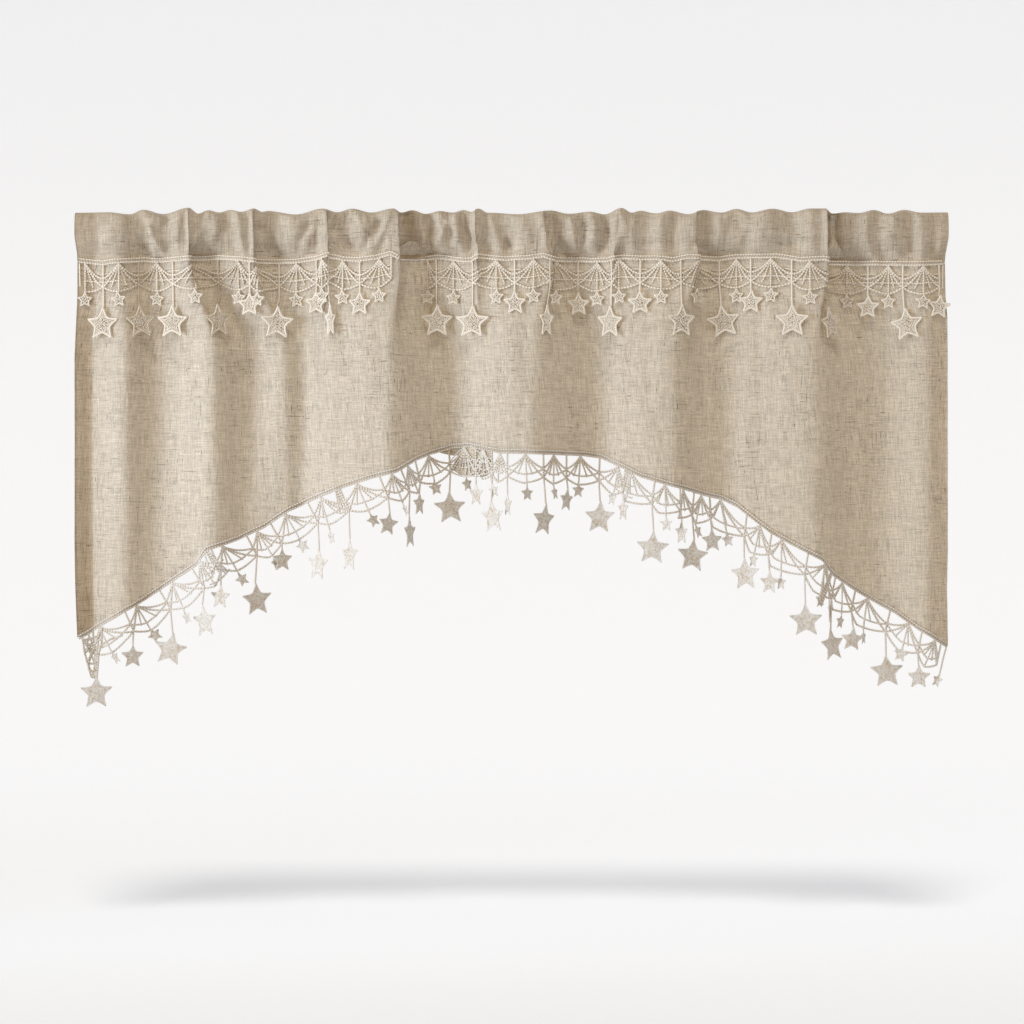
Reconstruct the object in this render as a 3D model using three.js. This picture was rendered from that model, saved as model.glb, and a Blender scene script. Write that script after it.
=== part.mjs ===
// A gathered linen valance hung by its rod pocket, with star lace on its seam and its arched lower edge.
// Millimetres, +Z up. The front faces -Y and the origin is the middle of the top edge.
// A level is a distance below the top edge, so z is minus the level.

import * as THREE from 'three';

// Linen
const HALF_WIDTH = 546;
const POCKET_HEIGHT = 57;
const SEAM_GAP = 0.3;
const LINEN_HALF = 0.75;
const SIDE_HEM_WIDTH = 24;
const SIDE_HEM_STEP = 1.5;
const SIDE_HEM_EXTRA = 1.2;
const SEAM_PINCH = 0.006;
const PINCH_REACH = 45;
const FOLD_SETTLE_START = 57;
const FOLD_SETTLE_LENGTH = 160;

// Rod pocket
const CHANNEL_TOP = 3;
const CHANNEL_BOTTOM = 50;
const CHANNEL_HALF_DEPTH = 10.5;
const POCKET_WALL = 1.5;
const TAIL_START = 52;
const TAIL_HALF = 1.3;
const FOLD_SHARE_AT_ROD = 0.06;
const FOLD_HOLD_START = 38;
const GATHER_FADE_START = 35;
const TOP_DIP = 4;
const FOLD_BULGE = 0.4;
const BACK_GATHER_SHARE = 0.45;
const NARROWEST_COLUMN = 6;

// Lace
const STRAND = 1;
const LACE_THICKNESS = 1.5;
const BRAID_WIDTH = 6;
const UPPER_CLEARANCE = 1.05;
const LOWER_CLEARANCE = 0.6;
const NET_CLEARANCE = 1.7;
const UPPER_BRAID_FOOT = 59;
const WEB_KNOT = 28;
const SCALLOP_DEPTH = 36;
const LAYOUT_PITCH = 50;
const NARROWEST_OPEN_HALF = 9;
const STEEPEST_FACING = 0.36;
const EDGE_SLOPE_SPAN = 70;
const END_REACH = 20;
const END_OVERHANG = 0.2;
const TAIL_FADE = 4;
const BRAID_FADE = 10;
const EDGE_FREE = 2;
const NEAR_FOLD_LINE = 0.04;
const STAR_TIP_SHARE = 0.8;
const SLOPE_STEP = 1;

// The folds from left to right, at the seam and at the lower edge. A crest stands to the front and a valley
// lies to the back of the hanging plane.
const SEAM_FOLDS = [
  { crest: -492, valley: -455, front: 9, back: 5 },
  { crest: -403, valley: -381, front: 14, back: 8 },
  { crest: -323, valley: -303, front: 14, back: 6 },
  { crest: -145, valley: -121, front: 15, back: 15 },
  { crest: 47, valley: 67, front: 14, back: 8 },
  { crest: 224, valley: 245, front: 11, back: 7 },
  { crest: 390, valley: 411, front: 15, back: 10 },
  { crest: 512, valley: 546, front: 9, back: 1 },
];
const HEM_FOLDS = [
  { crest: -483, valley: -448, front: 12, back: 7 },
  { crest: -374, valley: -336, front: 18, back: 8 },
  { crest: -286, valley: -262, front: 2, back: 8 },
  { crest: -156, valley: -80, front: 22, back: 24 },
  { crest: 20, valley: 106, front: 22, back: 18 },
  { crest: 196, valley: 251, front: 20, back: 12 },
  { crest: 372, valley: 438, front: 22, back: 16 },
  { crest: 516, valley: 546, front: 8, back: 3 },
];

// Short pleats that start at the seam and die out below it.
const PLEATS = [
  { crest: -230, rise: 7, leftFoot: 34, rightFoot: 13, reach: 130 },
  { crest: -43, rise: 7, leftFoot: 36, rightFoot: 13, reach: 120 },
  { crest: 127, rise: 6, leftFoot: 34, rightFoot: 13, reach: 110 },
];

// Gathers on the rod pocket: where each ridge stands at the top edge and at the seam, and how far.
const GATHERS = [
  { top: -494, seam: -505, rise: 8 },
  { top: -455, seam: -446, rise: 6 },
  { top: -436, seam: -424, rise: 4 },
  { top: -390, seam: -400, rise: 9 },
  { top: -348, seam: -342, rise: 8 },
  { top: -322, seam: -324, rise: 6 },
  { top: -290, seam: -284, rise: 8 },
  { top: -262, seam: -256, rise: 4 },
  { top: -231, seam: -231, rise: 9 },
  { top: -190, seam: -186, rise: 8 },
  { top: -160, seam: -154, rise: 9 },
  { top: -119, seam: -118, rise: 6 },
  { top: -96, seam: -95, rise: 6 },
  { top: -70, seam: -72, rise: 8 },
  { top: -43, seam: -41, rise: 8 },
  { top: -5, seam: 2, rise: 8 },
  { top: 36, seam: 36, rise: 9 },
  { top: 68, seam: 68, rise: 6 },
  { top: 112, seam: 98, rise: 8 },
  { top: 140, seam: 136, rise: 8 },
  { top: 178, seam: 176, rise: 8 },
  { top: 214, seam: 211, rise: 8 },
  { top: 249, seam: 257, rise: 6 },
  { top: 297, seam: 295, rise: 9 },
  { top: 348, seam: 360, rise: 9 },
  { top: 378, seam: 384, rise: 6 },
  { top: 420, seam: 424, rise: 6 },
  { top: 447, seam: 452, rise: 8 },
  { top: 474, seam: 482, rise: 6 },
  { top: 516, seam: 516, rise: 9 },
];

// The arched lower edge of the linen: its level at each distance from the middle.
const LOWER_EDGE = [
  { x: -546, level: 531 },
  { x: -495, level: 504 },
  { x: -439, level: 468 },
  { x: -392, level: 438 },
  { x: -380, level: 420 },
  { x: -312, level: 392 },
  { x: -279, level: 370 },
  { x: -213, level: 342 },
  { x: -144, level: 322 },
  { x: -121, level: 307 },
  { x: -103, level: 299 },
  { x: -63, level: 290 },
  { x: -15, level: 298 },
  { x: 91, level: 301 },
  { x: 113, level: 304 },
  { x: 161, level: 328 },
  { x: 190, level: 337 },
  { x: 264, level: 356 },
  { x: 282, level: 365 },
  { x: 322, level: 397 },
  { x: 385, level: 432 },
  { x: 399, level: 451 },
  { x: 451, level: 482 },
  { x: 509, level: 519 },
  { x: 546, level: 542 },
];

// Star sizes, how far below the braid each star hangs, and how far it stands forward on the lower edge.
const STARS = {
  small: { radius: 9.4, centre: 46.5, stand: 5 },
  medium: { radius: 14.3, centre: 54, stand: -4 },
  large: { radius: 20, centre: 77, stand: 0 },
};
const STAR_POINTS = 5;
const STAR_NOTCH = 0.5;
const STAR_REST_SHARE = 0.7;
const STAR_REST_STEPS = 8;

// Lace along the seam, a row for each repeat: the apex of a fan, the web on its right and the web's star.
const UPPER_REPEATS = [
  { apex: -536, web: -510, star: 'large' },
  { apex: -490, web: -468, star: 'medium' },
  { apex: -444, web: -422, star: 'large' },
  { apex: -394, web: -367, star: 'large' },
  { apex: -340, web: -328, star: 'medium' },
  { apex: -317, web: -291, star: 'large' },
  { apex: -269, web: -245, star: 'medium' },
  { apex: -234, web: -226, star: 'large' },
  { apex: -211, web: -189, star: 'medium' },
  { apex: -165, web: -144, star: 'large' },
  { apex: -125, web: -94, star: 'large' },
  { apex: -72, web: -48, star: 'large' },
  { apex: -19, web: 4, star: 'medium' },
  { apex: 27, web: 48, star: 'large' },
  { apex: 61, web: 83, star: 'medium' },
  { apex: 107, web: 125, star: 'large' },
  { apex: 138, web: 160, star: 'medium' },
  { apex: 186, web: 211, star: 'large' },
  { apex: 233, web: 262, star: 'large' },
  { apex: 281, web: 299, star: 'medium' },
  { apex: 323, web: 349, star: 'large' },
  { apex: 371, web: 400, star: 'large' },
  { apex: 420, web: 446, star: 'medium' },
  { apex: 471, web: 496, star: 'large' },
  { apex: 514, web: 531, star: 'medium' },
];

// Lace along the arched edge. A turn is the angle in degrees that a star is turned about its thread.
const LOWER_REPEATS = [
  { apex: -541, web: -533, star: 'large', turn: 20 },
  { apex: -516, web: -488, star: 'medium', turn: -10 },
  { apex: -470, web: -441, star: 'large', turn: -15 },
  { apex: -427, web: -398, star: 'large', turn: 10 },
  { apex: -388, web: -377, star: 'medium', turn: 35 },
  { apex: -360, web: -332, star: 'large', turn: -20 },
  { apex: -319, web: -302, star: 'medium', turn: 25 },
  { apex: -284, web: -255, star: 'large', turn: -5 },
  { apex: -239, web: -214, star: 'large', turn: -20 },
  { apex: -191, web: -164, star: 'medium', turn: 15 },
  { apex: -152, web: -139, star: 'large', turn: 58 },
  { apex: -131, web: -122, star: 'medium', turn: 55 },
  { apex: -102, web: -79, star: 'large', turn: -15 },
  { apex: -55, web: -42, star: 'medium', turn: -30 },
  { apex: -32, web: -22, star: 'large', turn: 5 },
  { apex: -13, web: -3, star: 'medium', turn: 55 },
  { apex: 19, web: 39, star: 'large', turn: 15 },
  { apex: 52, web: 67, star: 'medium', turn: 25 },
  { apex: 84, web: 114, star: 'large', turn: -20 },
  { apex: 136, web: 149, star: 'medium', turn: 50 },
  { apex: 166, web: 185, star: 'large', turn: 15 },
  { apex: 206, web: 218, star: 'medium', turn: 50 },
  { apex: 226, web: 235, star: 'large', turn: -10 },
  { apex: 247, web: 263, star: 'medium', turn: -25 },
  { apex: 288, web: 306, star: 'large', turn: -20 },
  { apex: 324, web: 338, star: 'medium', turn: 20 },
  { apex: 360, web: 384, star: 'large', turn: 30 },
  { apex: 400, web: 414, star: 'large', turn: 10 },
  { apex: 430, web: 446, star: 'medium', turn: -25 },
  { apex: 466, web: 488, star: 'large', turn: -15 },
  { apex: 508, web: 524, star: 'medium', turn: 10 },
];

function lerp(a, b, share) {
  return a + (b - a) * share;
}

function smooth(share) {
  const held = Math.min(Math.max(share, 0), 1);
  return held * held * (3 - 2 * held);
}

// The values in order, without those that come closer than a step to the one before.
function spacedOut(values, step) {
  const sorted = [...values].sort((a, b) => a - b);
  return sorted.filter((value, i) => i === 0 || value - sorted[i - 1] > step);
}

function halfWave(share) {
  return (1 - Math.cos(Math.PI * share)) / 2;
}

// The value of one column of a table at x, straight between its rows.
function tableValue(rows, key, x) {
  let i = 1;
  while (i < rows.length - 1 && rows[i].x < x) i += 1;
  const share = Math.min(Math.max((x - rows[i - 1].x) / (rows[i].x - rows[i - 1].x), 0), 1);
  return lerp(rows[i - 1][key], rows[i][key], share);
}

function edgeLevel(x) {
  return tableValue(LOWER_EDGE, 'level', x);
}

// The crests and valleys across the cloth at a level, from the left edge to the right edge.
function foldNodes(level) {
  const settled = smooth((level - FOLD_SETTLE_START) / FOLD_SETTLE_LENGTH);
  const pinch = 1 - SEAM_PINCH * Math.exp(-(((level - POCKET_HEIGHT) / PINCH_REACH) ** 2));
  const nodes = [{ x: -HALF_WIDTH * pinch, y: 0 }];
  SEAM_FOLDS.forEach((seam, i) => {
    const hem = HEM_FOLDS[i];
    nodes.push({ x: lerp(seam.crest, hem.crest, settled) * pinch, y: -lerp(seam.front, hem.front, settled) });
    nodes.push({ x: lerp(seam.valley, hem.valley, settled) * pinch, y: lerp(seam.back, hem.back, settled) });
  });
  return nodes;
}

// A place counts crests and valleys from the left edge, so 2.5 is halfway from valley 2 to crest 3.
function placeAt(x, level) {
  const nodes = foldNodes(level);
  let i = 1;
  while (i < nodes.length - 1 && nodes[i].x < x) i += 1;
  const share = (x - nodes[i - 1].x) / (nodes[i].x - nodes[i - 1].x);
  return i - 1 + Math.min(Math.max(share, 0), 1);
}

function xAtPlace(place, level) {
  const nodes = foldNodes(level);
  const i = Math.min(Math.floor(place), nodes.length - 2);
  return lerp(nodes[i].x, nodes[i + 1].x, place - i);
}

function pleatRise(x, level) {
  let rise = 0;
  for (const pleat of PLEATS) {
    const foot = x < pleat.crest ? pleat.leftFoot : pleat.rightFoot;
    const near = Math.max(1 - Math.abs(x - pleat.crest) / foot, 0);
    const left = 1 - smooth((level - POCKET_HEIGHT) / pleat.reach);
    rise += pleat.rise * halfWave(near) * left;
  }
  return rise;
}

// How far behind the hanging plane the middle of the cloth lies.
function clothY(x, level) {
  const nodes = foldNodes(level);
  const place = placeAt(x, level);
  const i = Math.min(Math.floor(place), nodes.length - 2);
  return lerp(nodes[i].y, nodes[i + 1].y, halfWave(place - i)) - pleatRise(x, level);
}

// The direction across the cloth at a point, seen from above, as the cosine and sine of its angle to X.
function clothDirection(x, level) {
  const slope = (clothY(x + SLOPE_STEP, level) - clothY(x - SLOPE_STEP, level)) / (2 * SLOPE_STEP);
  const length = Math.hypot(1, slope);
  return { along: 1 / length, back: slope / length };
}

// A mesh from shared points and triangles.
function solidMesh(name, points, triangles, colour) {
  const geometry = new THREE.BufferGeometry();
  const positions = points.flatMap((point) => [point.x, point.y, point.z]);
  geometry.setAttribute('position', new THREE.Float32BufferAttribute(positions, 3));
  geometry.setIndex(triangles.flat());
  geometry.computeVertexNormals();
  const material = new THREE.MeshStandardMaterial({ color: colour, roughness: 0.9, metalness: 0 });
  const mesh = new THREE.Mesh(geometry, material);
  mesh.name = name;
  return mesh;
}

// Quads between two closed or open lines of point numbers, facing left of the way they run.
function bridge(triangles, first, second, closed) {
  const steps = closed ? first.length : first.length - 1;
  for (let i = 0; i < steps; i += 1) {
    const j = (i + 1) % first.length;
    triangles.push([first[i], second[i], second[j]], [first[i], second[j], first[j]]);
  }
}

// The linen below the seam: one sheet on the folds, thicker at its side hems, cut to the arched edge.
const PANEL_ROWS = [0, 0.08, 0.17, 0.32, 0.55, 0.78, 1];
const CREST_TO_VALLEY_PARTS = 4;
const VALLEY_TO_CREST_PARTS = 4;
const CLOSEST_PLACES = 0.05;
const LEVEL_ROUNDS = 4;

function findPanelPlaces() {
  const seam = POCKET_HEIGHT;
  const nodeCount = foldNodes(seam).length;
  const places = [];
  for (let node = 0; node < nodeCount - 1; node += 1) {
    const parts = node % 2 === 1 ? CREST_TO_VALLEY_PARTS : VALLEY_TO_CREST_PARTS;
    for (let part = 0; part < parts; part += 1) places.push(node + part / parts);
  }
  places.push(nodeCount - 1);
  for (const pleat of PLEATS) {
    places.push(placeAt(pleat.crest, seam), placeAt(pleat.crest + pleat.rightFoot, seam));
  }
  for (const inset of [SIDE_HEM_WIDTH, SIDE_HEM_WIDTH - SIDE_HEM_STEP]) {
    places.push(placeAt(inset - HALF_WIDTH, seam), placeAt(HALF_WIDTH - inset, seam));
  }
  return spacedOut(places, CLOSEST_PLACES);
}

const PANEL_PLACES = findPanelPlaces();

function linenPanel() {
  const top = POCKET_HEIGHT + SEAM_GAP;
  const places = PANEL_PLACES;
  const points = [];
  const addPoint = (x, level, offset) => {
    const turn = clothDirection(x, level);
    const y = clothY(x, level) - turn.along * offset;
    points.push(new THREE.Vector3(x + turn.back * offset, y, -level));
    return points.length - 1;
  };
  const front = [];
  const back = [];
  for (const share of PANEL_ROWS) {
    const rows = places.map((place) => {
      let level = top;
      for (let round = 0; round < LEVEL_ROUNDS; round += 1) {
        level = lerp(top, edgeLevel(xAtPlace(place, level)), share);
      }
      const x = xAtPlace(place, level);
      const inset = HALF_WIDTH - Math.abs(x);
      const hem = smooth((SIDE_HEM_WIDTH - inset) / SIDE_HEM_STEP) * SIDE_HEM_EXTRA;
      return [addPoint(x, level, LINEN_HALF), addPoint(x, level, -LINEN_HALF - hem)];
    });
    front.push(rows.map((pair) => pair[0]));
    back.push(rows.map((pair) => pair[1]));
  }
  const triangles = [];
  for (let i = 1; i < front.length; i += 1) {
    bridge(triangles, front[i - 1], front[i], false);
    bridge(triangles, back[i], back[i - 1], false);
  }
  const rim = (grid) => {
    const last = grid.length - 1;
    const right = grid.map((row) => row[row.length - 1]);
    const left = grid.map((row) => row[0]);
    const bottom = [...grid[last]].reverse();
    return [...grid[0], ...right.slice(1, last), ...bottom, ...left.slice(1, last).reverse()];
  };
  bridge(triangles, rim(back), rim(front), true);
  return solidMesh('linen_panel', points, triangles, 0xd3c8b6);
}

// The rod pocket: a gathered tube of linen, open at both ends, closed by its seam along the bottom.
const POCKET_RING = [
  { level: 0, depth: 0.3 },
  { level: 6, depth: 0.78 },
  { level: 18, depth: 1 },
  { level: 39, depth: 0.86 },
  { level: TAIL_START, depth: 0 },
  { level: POCKET_HEIGHT, depth: 0 },
];
const CHANNEL_RING = [
  { level: CHANNEL_TOP, depth: 0.3 },
  { level: 12, depth: 0.85 },
  { level: 36, depth: 0.9 },
  { level: CHANNEL_BOTTOM, depth: 0.12 },
];

function gatherRidges(share) {
  return GATHERS.map((gather) => ({ x: lerp(gather.top, gather.seam, share), rise: gather.rise }));
}

// How far the gathers push the pocket's wall out at x, between two ridges and the dip halfway.
function gatherRise(x, share) {
  const ridges = gatherRidges(share);
  let rise = 0;
  ridges.forEach((ridge, i) => {
    const before = i > 0 ? (ridge.x - ridges[i - 1].x) / 2 : ridge.x + HALF_WIDTH;
    const after = i < ridges.length - 1 ? (ridges[i + 1].x - ridge.x) / 2 : HALF_WIDTH - ridge.x;
    const reach = x < ridge.x ? before : after;
    rise += ridge.rise * halfWave(Math.max(1 - Math.abs(x - ridge.x) / reach, 0));
  });
  return rise;
}

function pocketColumns() {
  const nodes = foldNodes(POCKET_HEIGHT);
  const ridges = gatherRidges(0.5);
  const places = nodes.map((node) => node.x);
  ridges.forEach((ridge, i) => {
    places.push(ridge.x);
    if (i > 0) places.push((ridge.x + ridges[i - 1].x) / 2);
  });
  PLEATS.forEach((pleat) => places.push(pleat.crest + pleat.rightFoot));
  return spacedOut(places, NARROWEST_COLUMN);
}

// One point of the pocket's section at x. The side is -1 on the front and 1 on the back.
function pocketPoint(x, level, halfDepth, side, wall) {
  const share = level / POCKET_HEIGHT;
  const fold = clothY(x, POCKET_HEIGHT);
  const held = smooth((level - FOLD_HOLD_START) / (TAIL_START - FOLD_HOLD_START));
  const hold = lerp(FOLD_SHARE_AT_ROD, 1, held);
  const free = 1 - smooth((level - GATHER_FADE_START) / (TAIL_START - GATHER_FADE_START));
  const gather = gatherRise(x, share) * free * (side < 0 ? 1 : BACK_GATHER_SHARE);
  const bulge = Math.max(side * fold, 0) * FOLD_BULGE * free;
  const dip = Math.max(TOP_DIP - gatherRise(x, 0), 0) * (1 - smooth(level / CHANNEL_BOTTOM));
  const outward = halfDepth + wall + (gather + bulge) * smooth(halfDepth / CHANNEL_HALF_DEPTH);
  return new THREE.Vector3(x, fold * hold + side * outward, -level - dip);
}

function rodPocket() {
  const columns = pocketColumns();
  const points = [];
  const ringAt = (x, rows, wall) => {
    const half = (row) => row.depth * CHANNEL_HALF_DEPTH;
    const front = rows.map((row) => pocketPoint(x, row.level, half(row), -1, wall(row)));
    const back = rows.map((row) => pocketPoint(x, row.level, half(row), 1, wall(row)));
    return [...front, ...back.reverse()].map((point) => points.push(point) - 1);
  };
  const outerWall = (row) => (row.depth > 0 ? POCKET_WALL : TAIL_HALF);
  const outer = columns.map((x) => ringAt(x, POCKET_RING, outerWall));
  const inner = columns.map((x) => ringAt(x, CHANNEL_RING, () => 0));
  const triangles = [];
  for (let i = 1; i < columns.length; i += 1) {
    bridge(triangles, outer[i], outer[i - 1], true);
    bridge(triangles, inner[i - 1], inner[i], true);
  }
  const endCap = (outerRing, innerRing, flip) => {
    const flat = (number) => new THREE.Vector2(points[number].y, points[number].z);
    const numbers = [...outerRing, ...innerRing];
    const faces = THREE.ShapeUtils.triangulateShape(outerRing.map(flat), [innerRing.map(flat)]);
    for (const [a, b, c] of faces) {
      const face = [numbers[a], numbers[b], numbers[c]];
      triangles.push(flip ? face.reverse() : face);
    }
  };
  endCap(outer[0], inner[0], true);
  endCap(outer[columns.length - 1], inner[columns.length - 1], false);
  return solidMesh('rod_pocket', points, triangles, 0xc3b59d);
}

// The flat pattern of the lace. It is laid out with even repeats, each LAYOUT_PITCH wide.
// Across is in repeats from the first apex, and reach is the distance below the braid's lower edge.
function starOutline(across, size) {
  const outline = [];
  for (let i = 1; i < 2 * STAR_POINTS; i += 1) {
    const radius = i % 2 === 1 ? size.radius * STAR_NOTCH : size.radius;
    const angle = (i * Math.PI) / STAR_POINTS;
    outline.push({ side: -radius * Math.sin(angle), down: -radius * Math.cos(angle) });
  }
  const tip = { side: -STRAND * STAR_TIP_SHARE, down: -size.radius };
  const corners = [tip, ...outline, { side: -tip.side, down: tip.down }];
  return corners.map((point) => ({ across, star: size, ...point }));
}

function thread(across, knot, size) {
  const half = STRAND / LAYOUT_PITCH;
  return [
    { across: across - half, reach: knot + STRAND },
    ...starOutline(across, size),
    { across: across + half, reach: knot + STRAND },
  ];
}

// The openings on one side of a web, as distances from the web towards the apex and below the braid.
const OPENINGS = [
  { name: 'swag', corners: [[1, 1], [1, 15.5], [13, 9.8], [20, 1]] },
  { name: 'scallop', corners: [[7, 23.2], [11, 30.6], [24, 34.6], [24, 23.2]] },
  { name: 'fan', corners: [[11.5, 21], [24, 21], [24, 5.5]] },
];

function laceOpenings(repeats, rootX) {
  const openings = [];
  repeats.forEach((repeat, i) => {
    const web = i + 0.5;
    for (const side of [-1, 1]) {
      const width = Math.abs(rootX(web + side * 0.5) - rootX(web));
      if (i === repeats.length - 1 && side > 0) continue;
      if (width < NARROWEST_OPEN_HALF) continue;
      for (const opening of OPENINGS) {
        const corners = opening.corners.map(([away, reach]) => ({
          across: web + (side * away) / LAYOUT_PITCH,
          reach,
        }));
        openings.push(side > 0 ? corners : corners.reverse());
      }
    }
  });
  return openings;
}

// Cuts the flat triangles where the folds' crests and valleys cross them, so that the lace can bend there.
function splitAtFolds(vertices, triangles, placeOf, join) {
  let faces = triangles;
  const lineCount = foldNodes(POCKET_HEIGHT).length;
  for (let line = 1; line < lineCount - 1; line += 1) {
    const cuts = new Map();
    const cutBetween = (a, b) => {
      if (vertices[a].star || vertices[b].star) return -1;
      const low = Math.min(a, b);
      const high = Math.max(a, b);
      const from = placeOf(vertices[low]) - line;
      const to = placeOf(vertices[high]) - line;
      if (from * to >= 0 || Math.min(Math.abs(from), Math.abs(to)) < NEAR_FOLD_LINE) return -1;
      const key = `${low}_${high}`;
      if (!cuts.has(key)) {
        const cut = join(vertices[low], vertices[high], from / (from - to));
        cuts.set(key, vertices.push(cut) - 1);
      }
      return cuts.get(key);
    };
    const next = [];
    for (const [a, b, c] of faces) {
      const cut = [cutBetween(a, b), cutBetween(b, c), cutBetween(c, a)];
      const count = cut.filter((number) => number >= 0).length;
      if (count === 0) {
        next.push([a, b, c]);
      } else if (count === 1) {
        const at = cut.findIndex((number) => number >= 0);
        const [p, q, r] = [[a, b, c], [b, c, a], [c, a, b]][at];
        next.push([p, cut[at], r], [cut[at], q, r]);
      } else {
        const whole = cut.findIndex((number) => number < 0);
        const [p, q, r] = [[a, b, c], [b, c, a], [c, a, b]][whole];
        const right = cut[(whole + 1) % 3];
        const left = cut[(whole + 2) % 3];
        next.push([p, q, right], [p, right, left], [left, right, r]);
      }
    }
    faces = next;
  }
  return faces;
}

// The flat pattern in cells, from apex to apex, with each small star as a cell of its own.
function laceCells(repeats, openings) {
  const half = STRAND / LAYOUT_PITCH;
  const foot = SCALLOP_DEPTH + STRAND;
  const last = repeats.length - 1;
  const leftEnd = [
    { across: -END_OVERHANG, reach: END_REACH },
    { across: -half, reach: foot },
    { across: 0, reach: foot },
    { across: 0, reach: -BRAID_WIDTH },
    { across: -END_OVERHANG, reach: -BRAID_WIDTH },
  ];
  const cells = [{ outline: leftEnd, holes: [] }];
  repeats.forEach((repeat, i) => {
    const rightEdge = i < last
      ? [
        { across: i + 1 - half, reach: foot },
        { across: i + 1, reach: foot },
        { across: i + 1, reach: -BRAID_WIDTH },
      ]
      : [
        { across: last + 0.5 + END_OVERHANG, reach: END_REACH },
        { across: last + 0.5 + END_OVERHANG, reach: -BRAID_WIDTH },
      ];
    const outline = [
      { across: i, reach: foot },
      { across: i + half, reach: foot },
      ...thread(i + 0.5, WEB_KNOT, STARS[repeat.star]),
      ...rightEdge,
      { across: i, reach: -BRAID_WIDTH },
    ];
    const smallStar = [...thread(i, SCALLOP_DEPTH, STARS.small), { across: i, reach: foot }];
    cells.push({ outline, holes: openings.filter((hole) => Math.floor(hole[0].across) === i) });
    cells.push({ outline: smallStar, holes: [] });
  });
  return cells;
}

// The lace as a solid: the flat pattern, its openings cut through, mapped in front of the folds.
function laceTrim(name, repeats, layout) {
  const vertices = [];
  const known = new Map();
  const numberOf = (vertex) => {
    const key = vertex.star
      ? `star ${vertex.across} ${vertex.side} ${vertex.down}`
      : `net ${vertex.across.toFixed(4)} ${vertex.reach.toFixed(2)}`;
    if (!known.has(key)) known.set(key, vertices.push(vertex) - 1);
    return known.get(key);
  };
  const flat = (vertex) => {
    const side = vertex.star ? vertex.side : 0;
    const reach = vertex.star ? vertex.star.centre + vertex.down : vertex.reach;
    return new THREE.Vector2(vertex.across * LAYOUT_PITCH + side, -reach);
  };
  const faces = [];
  const openings = laceOpenings(repeats, layout.rootX);
  for (const cell of laceCells(repeats, openings)) {
    const corners = [...cell.outline, ...cell.holes.flat()];
    const holes = cell.holes.map((hole) => hole.map(flat));
    const cuts = THREE.ShapeUtils.triangulateShape(cell.outline.map(flat), holes);
    for (const cut of cuts) faces.push(cut.map((corner) => numberOf(corners[corner])));
  }
  const placeOf = (vertex) => {
    const spot = layout.spot(vertex.across, vertex.reach);
    return placeAt(spot.x, spot.level);
  };
  const join = (a, b, share) => ({
    across: lerp(a.across, b.across, share),
    reach: lerp(a.reach, b.reach, share),
  });
  const bent = splitAtFolds(vertices, faces, placeOf, join);

  const spots = vertices.map((vertex) => layout.point(vertex));
  layClear(spots, bent, layout.limit);
  const points = spots.map((spot) => spot.back);
  const backs = points.map((point, i) => i);
  const fronts = spots.map((spot) => points.push(spot.back.clone().add(spot.through)) - 1);
  const triangles = [];
  const edges = new Set();
  for (const [a, b, c] of bent) {
    triangles.push([fronts[a], fronts[b], fronts[c]], [backs[c], backs[b], backs[a]]);
    edges.add(`${a}_${b}`).add(`${b}_${c}`).add(`${c}_${a}`);
  }
  for (const edge of edges) {
    const [a, b] = edge.split('_').map(Number);
    if (edges.has(`${b}_${a}`)) continue;
    triangles.push([fronts[b], fronts[a], backs[a]], [fronts[b], backs[a], backs[b]]);
  }
  return solidMesh(name, points, triangles, 0xe9e2d3);
}

// Where the fans and webs of a lace leave its braid, from the table of its repeats.
function rootLine(repeats) {
  const rows = [];
  repeats.forEach((repeat, i) => {
    rows.push({ x: i, root: repeat.apex }, { x: i + 0.5, root: repeat.web });
  });
  return (across) => {
    if (across < 0) return lerp(-HALF_WIDTH, rows[0].root, 1 + across / END_OVERHANG);
    const last = rows[rows.length - 1];
    if (across > last.x) return lerp(last.root, HALF_WIDTH, (across - last.x) / END_OVERHANG);
    return tableValue(rows, 'root', across);
  };
}

// How far back lace may lie at x and a level: in front of the linen's flat facets by a clearance.
function frontOfLinen(x, level, half, clearance) {
  const place = placeAt(x, level);
  let i = 1;
  while (i < PANEL_PLACES.length - 1 && PANEL_PLACES[i] < place) i += 1;
  const left = xAtPlace(PANEL_PLACES[i - 1], level);
  const right = xAtPlace(PANEL_PLACES[i], level);
  const facet = lerp(clothY(left, level), clothY(right, level), (x - left) / (right - left));
  const facing = Math.max(clothDirection(x, level).along, STEEPEST_FACING);
  return Math.min(facet, clothY(x, level)) - (half + clearance) / facing;
}

// Moves the lace forward wherever a straight edge of it would cut the folds behind.
const SETTLE_ROUNDS = 8;
const SETTLE_SHARES = [0, 0.2, 0.35, 0.5, 0.65, 0.8, 1];

function layClear(spots, faces, limit) {
  const edges = new Map();
  for (const [a, b, c] of faces) {
    for (const [from, to] of [[a, b], [b, c], [c, a]]) {
      if (spots[from].fixed || spots[to].fixed) continue;
      edges.set(`${Math.min(from, to)}_${Math.max(from, to)}`, [from, to]);
    }
  }
  for (let round = 0; round < SETTLE_ROUNDS; round += 1) {
    for (const [from, to] of edges.values()) {
      const a = spots[from].back;
      const b = spots[to].back;
      for (const share of SETTLE_SHARES) {
        const allowed = limit(lerp(a.x, b.x, share), -lerp(a.z, b.z, share));
        const excess = lerp(a.y, b.y, share) - allowed;
        if (excess <= 0) continue;
        const scale = excess / (share ** 2 + (1 - share) ** 2);
        a.y -= scale * (1 - share);
        b.y -= scale * share;
      }
    }
  }
}

// A point of the net, a clearance in front of the cloth, measured across the cloth's slope.
function netPoint(x, level, clearance) {
  const facing = Math.max(clothDirection(x, level).along, STEEPEST_FACING);
  return {
    back: new THREE.Vector3(x, clothY(x, level) - clearance / facing, -level),
    through: new THREE.Vector3(0, -LACE_THICKNESS / facing, 0),
    fixed: false,
  };
}

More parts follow.
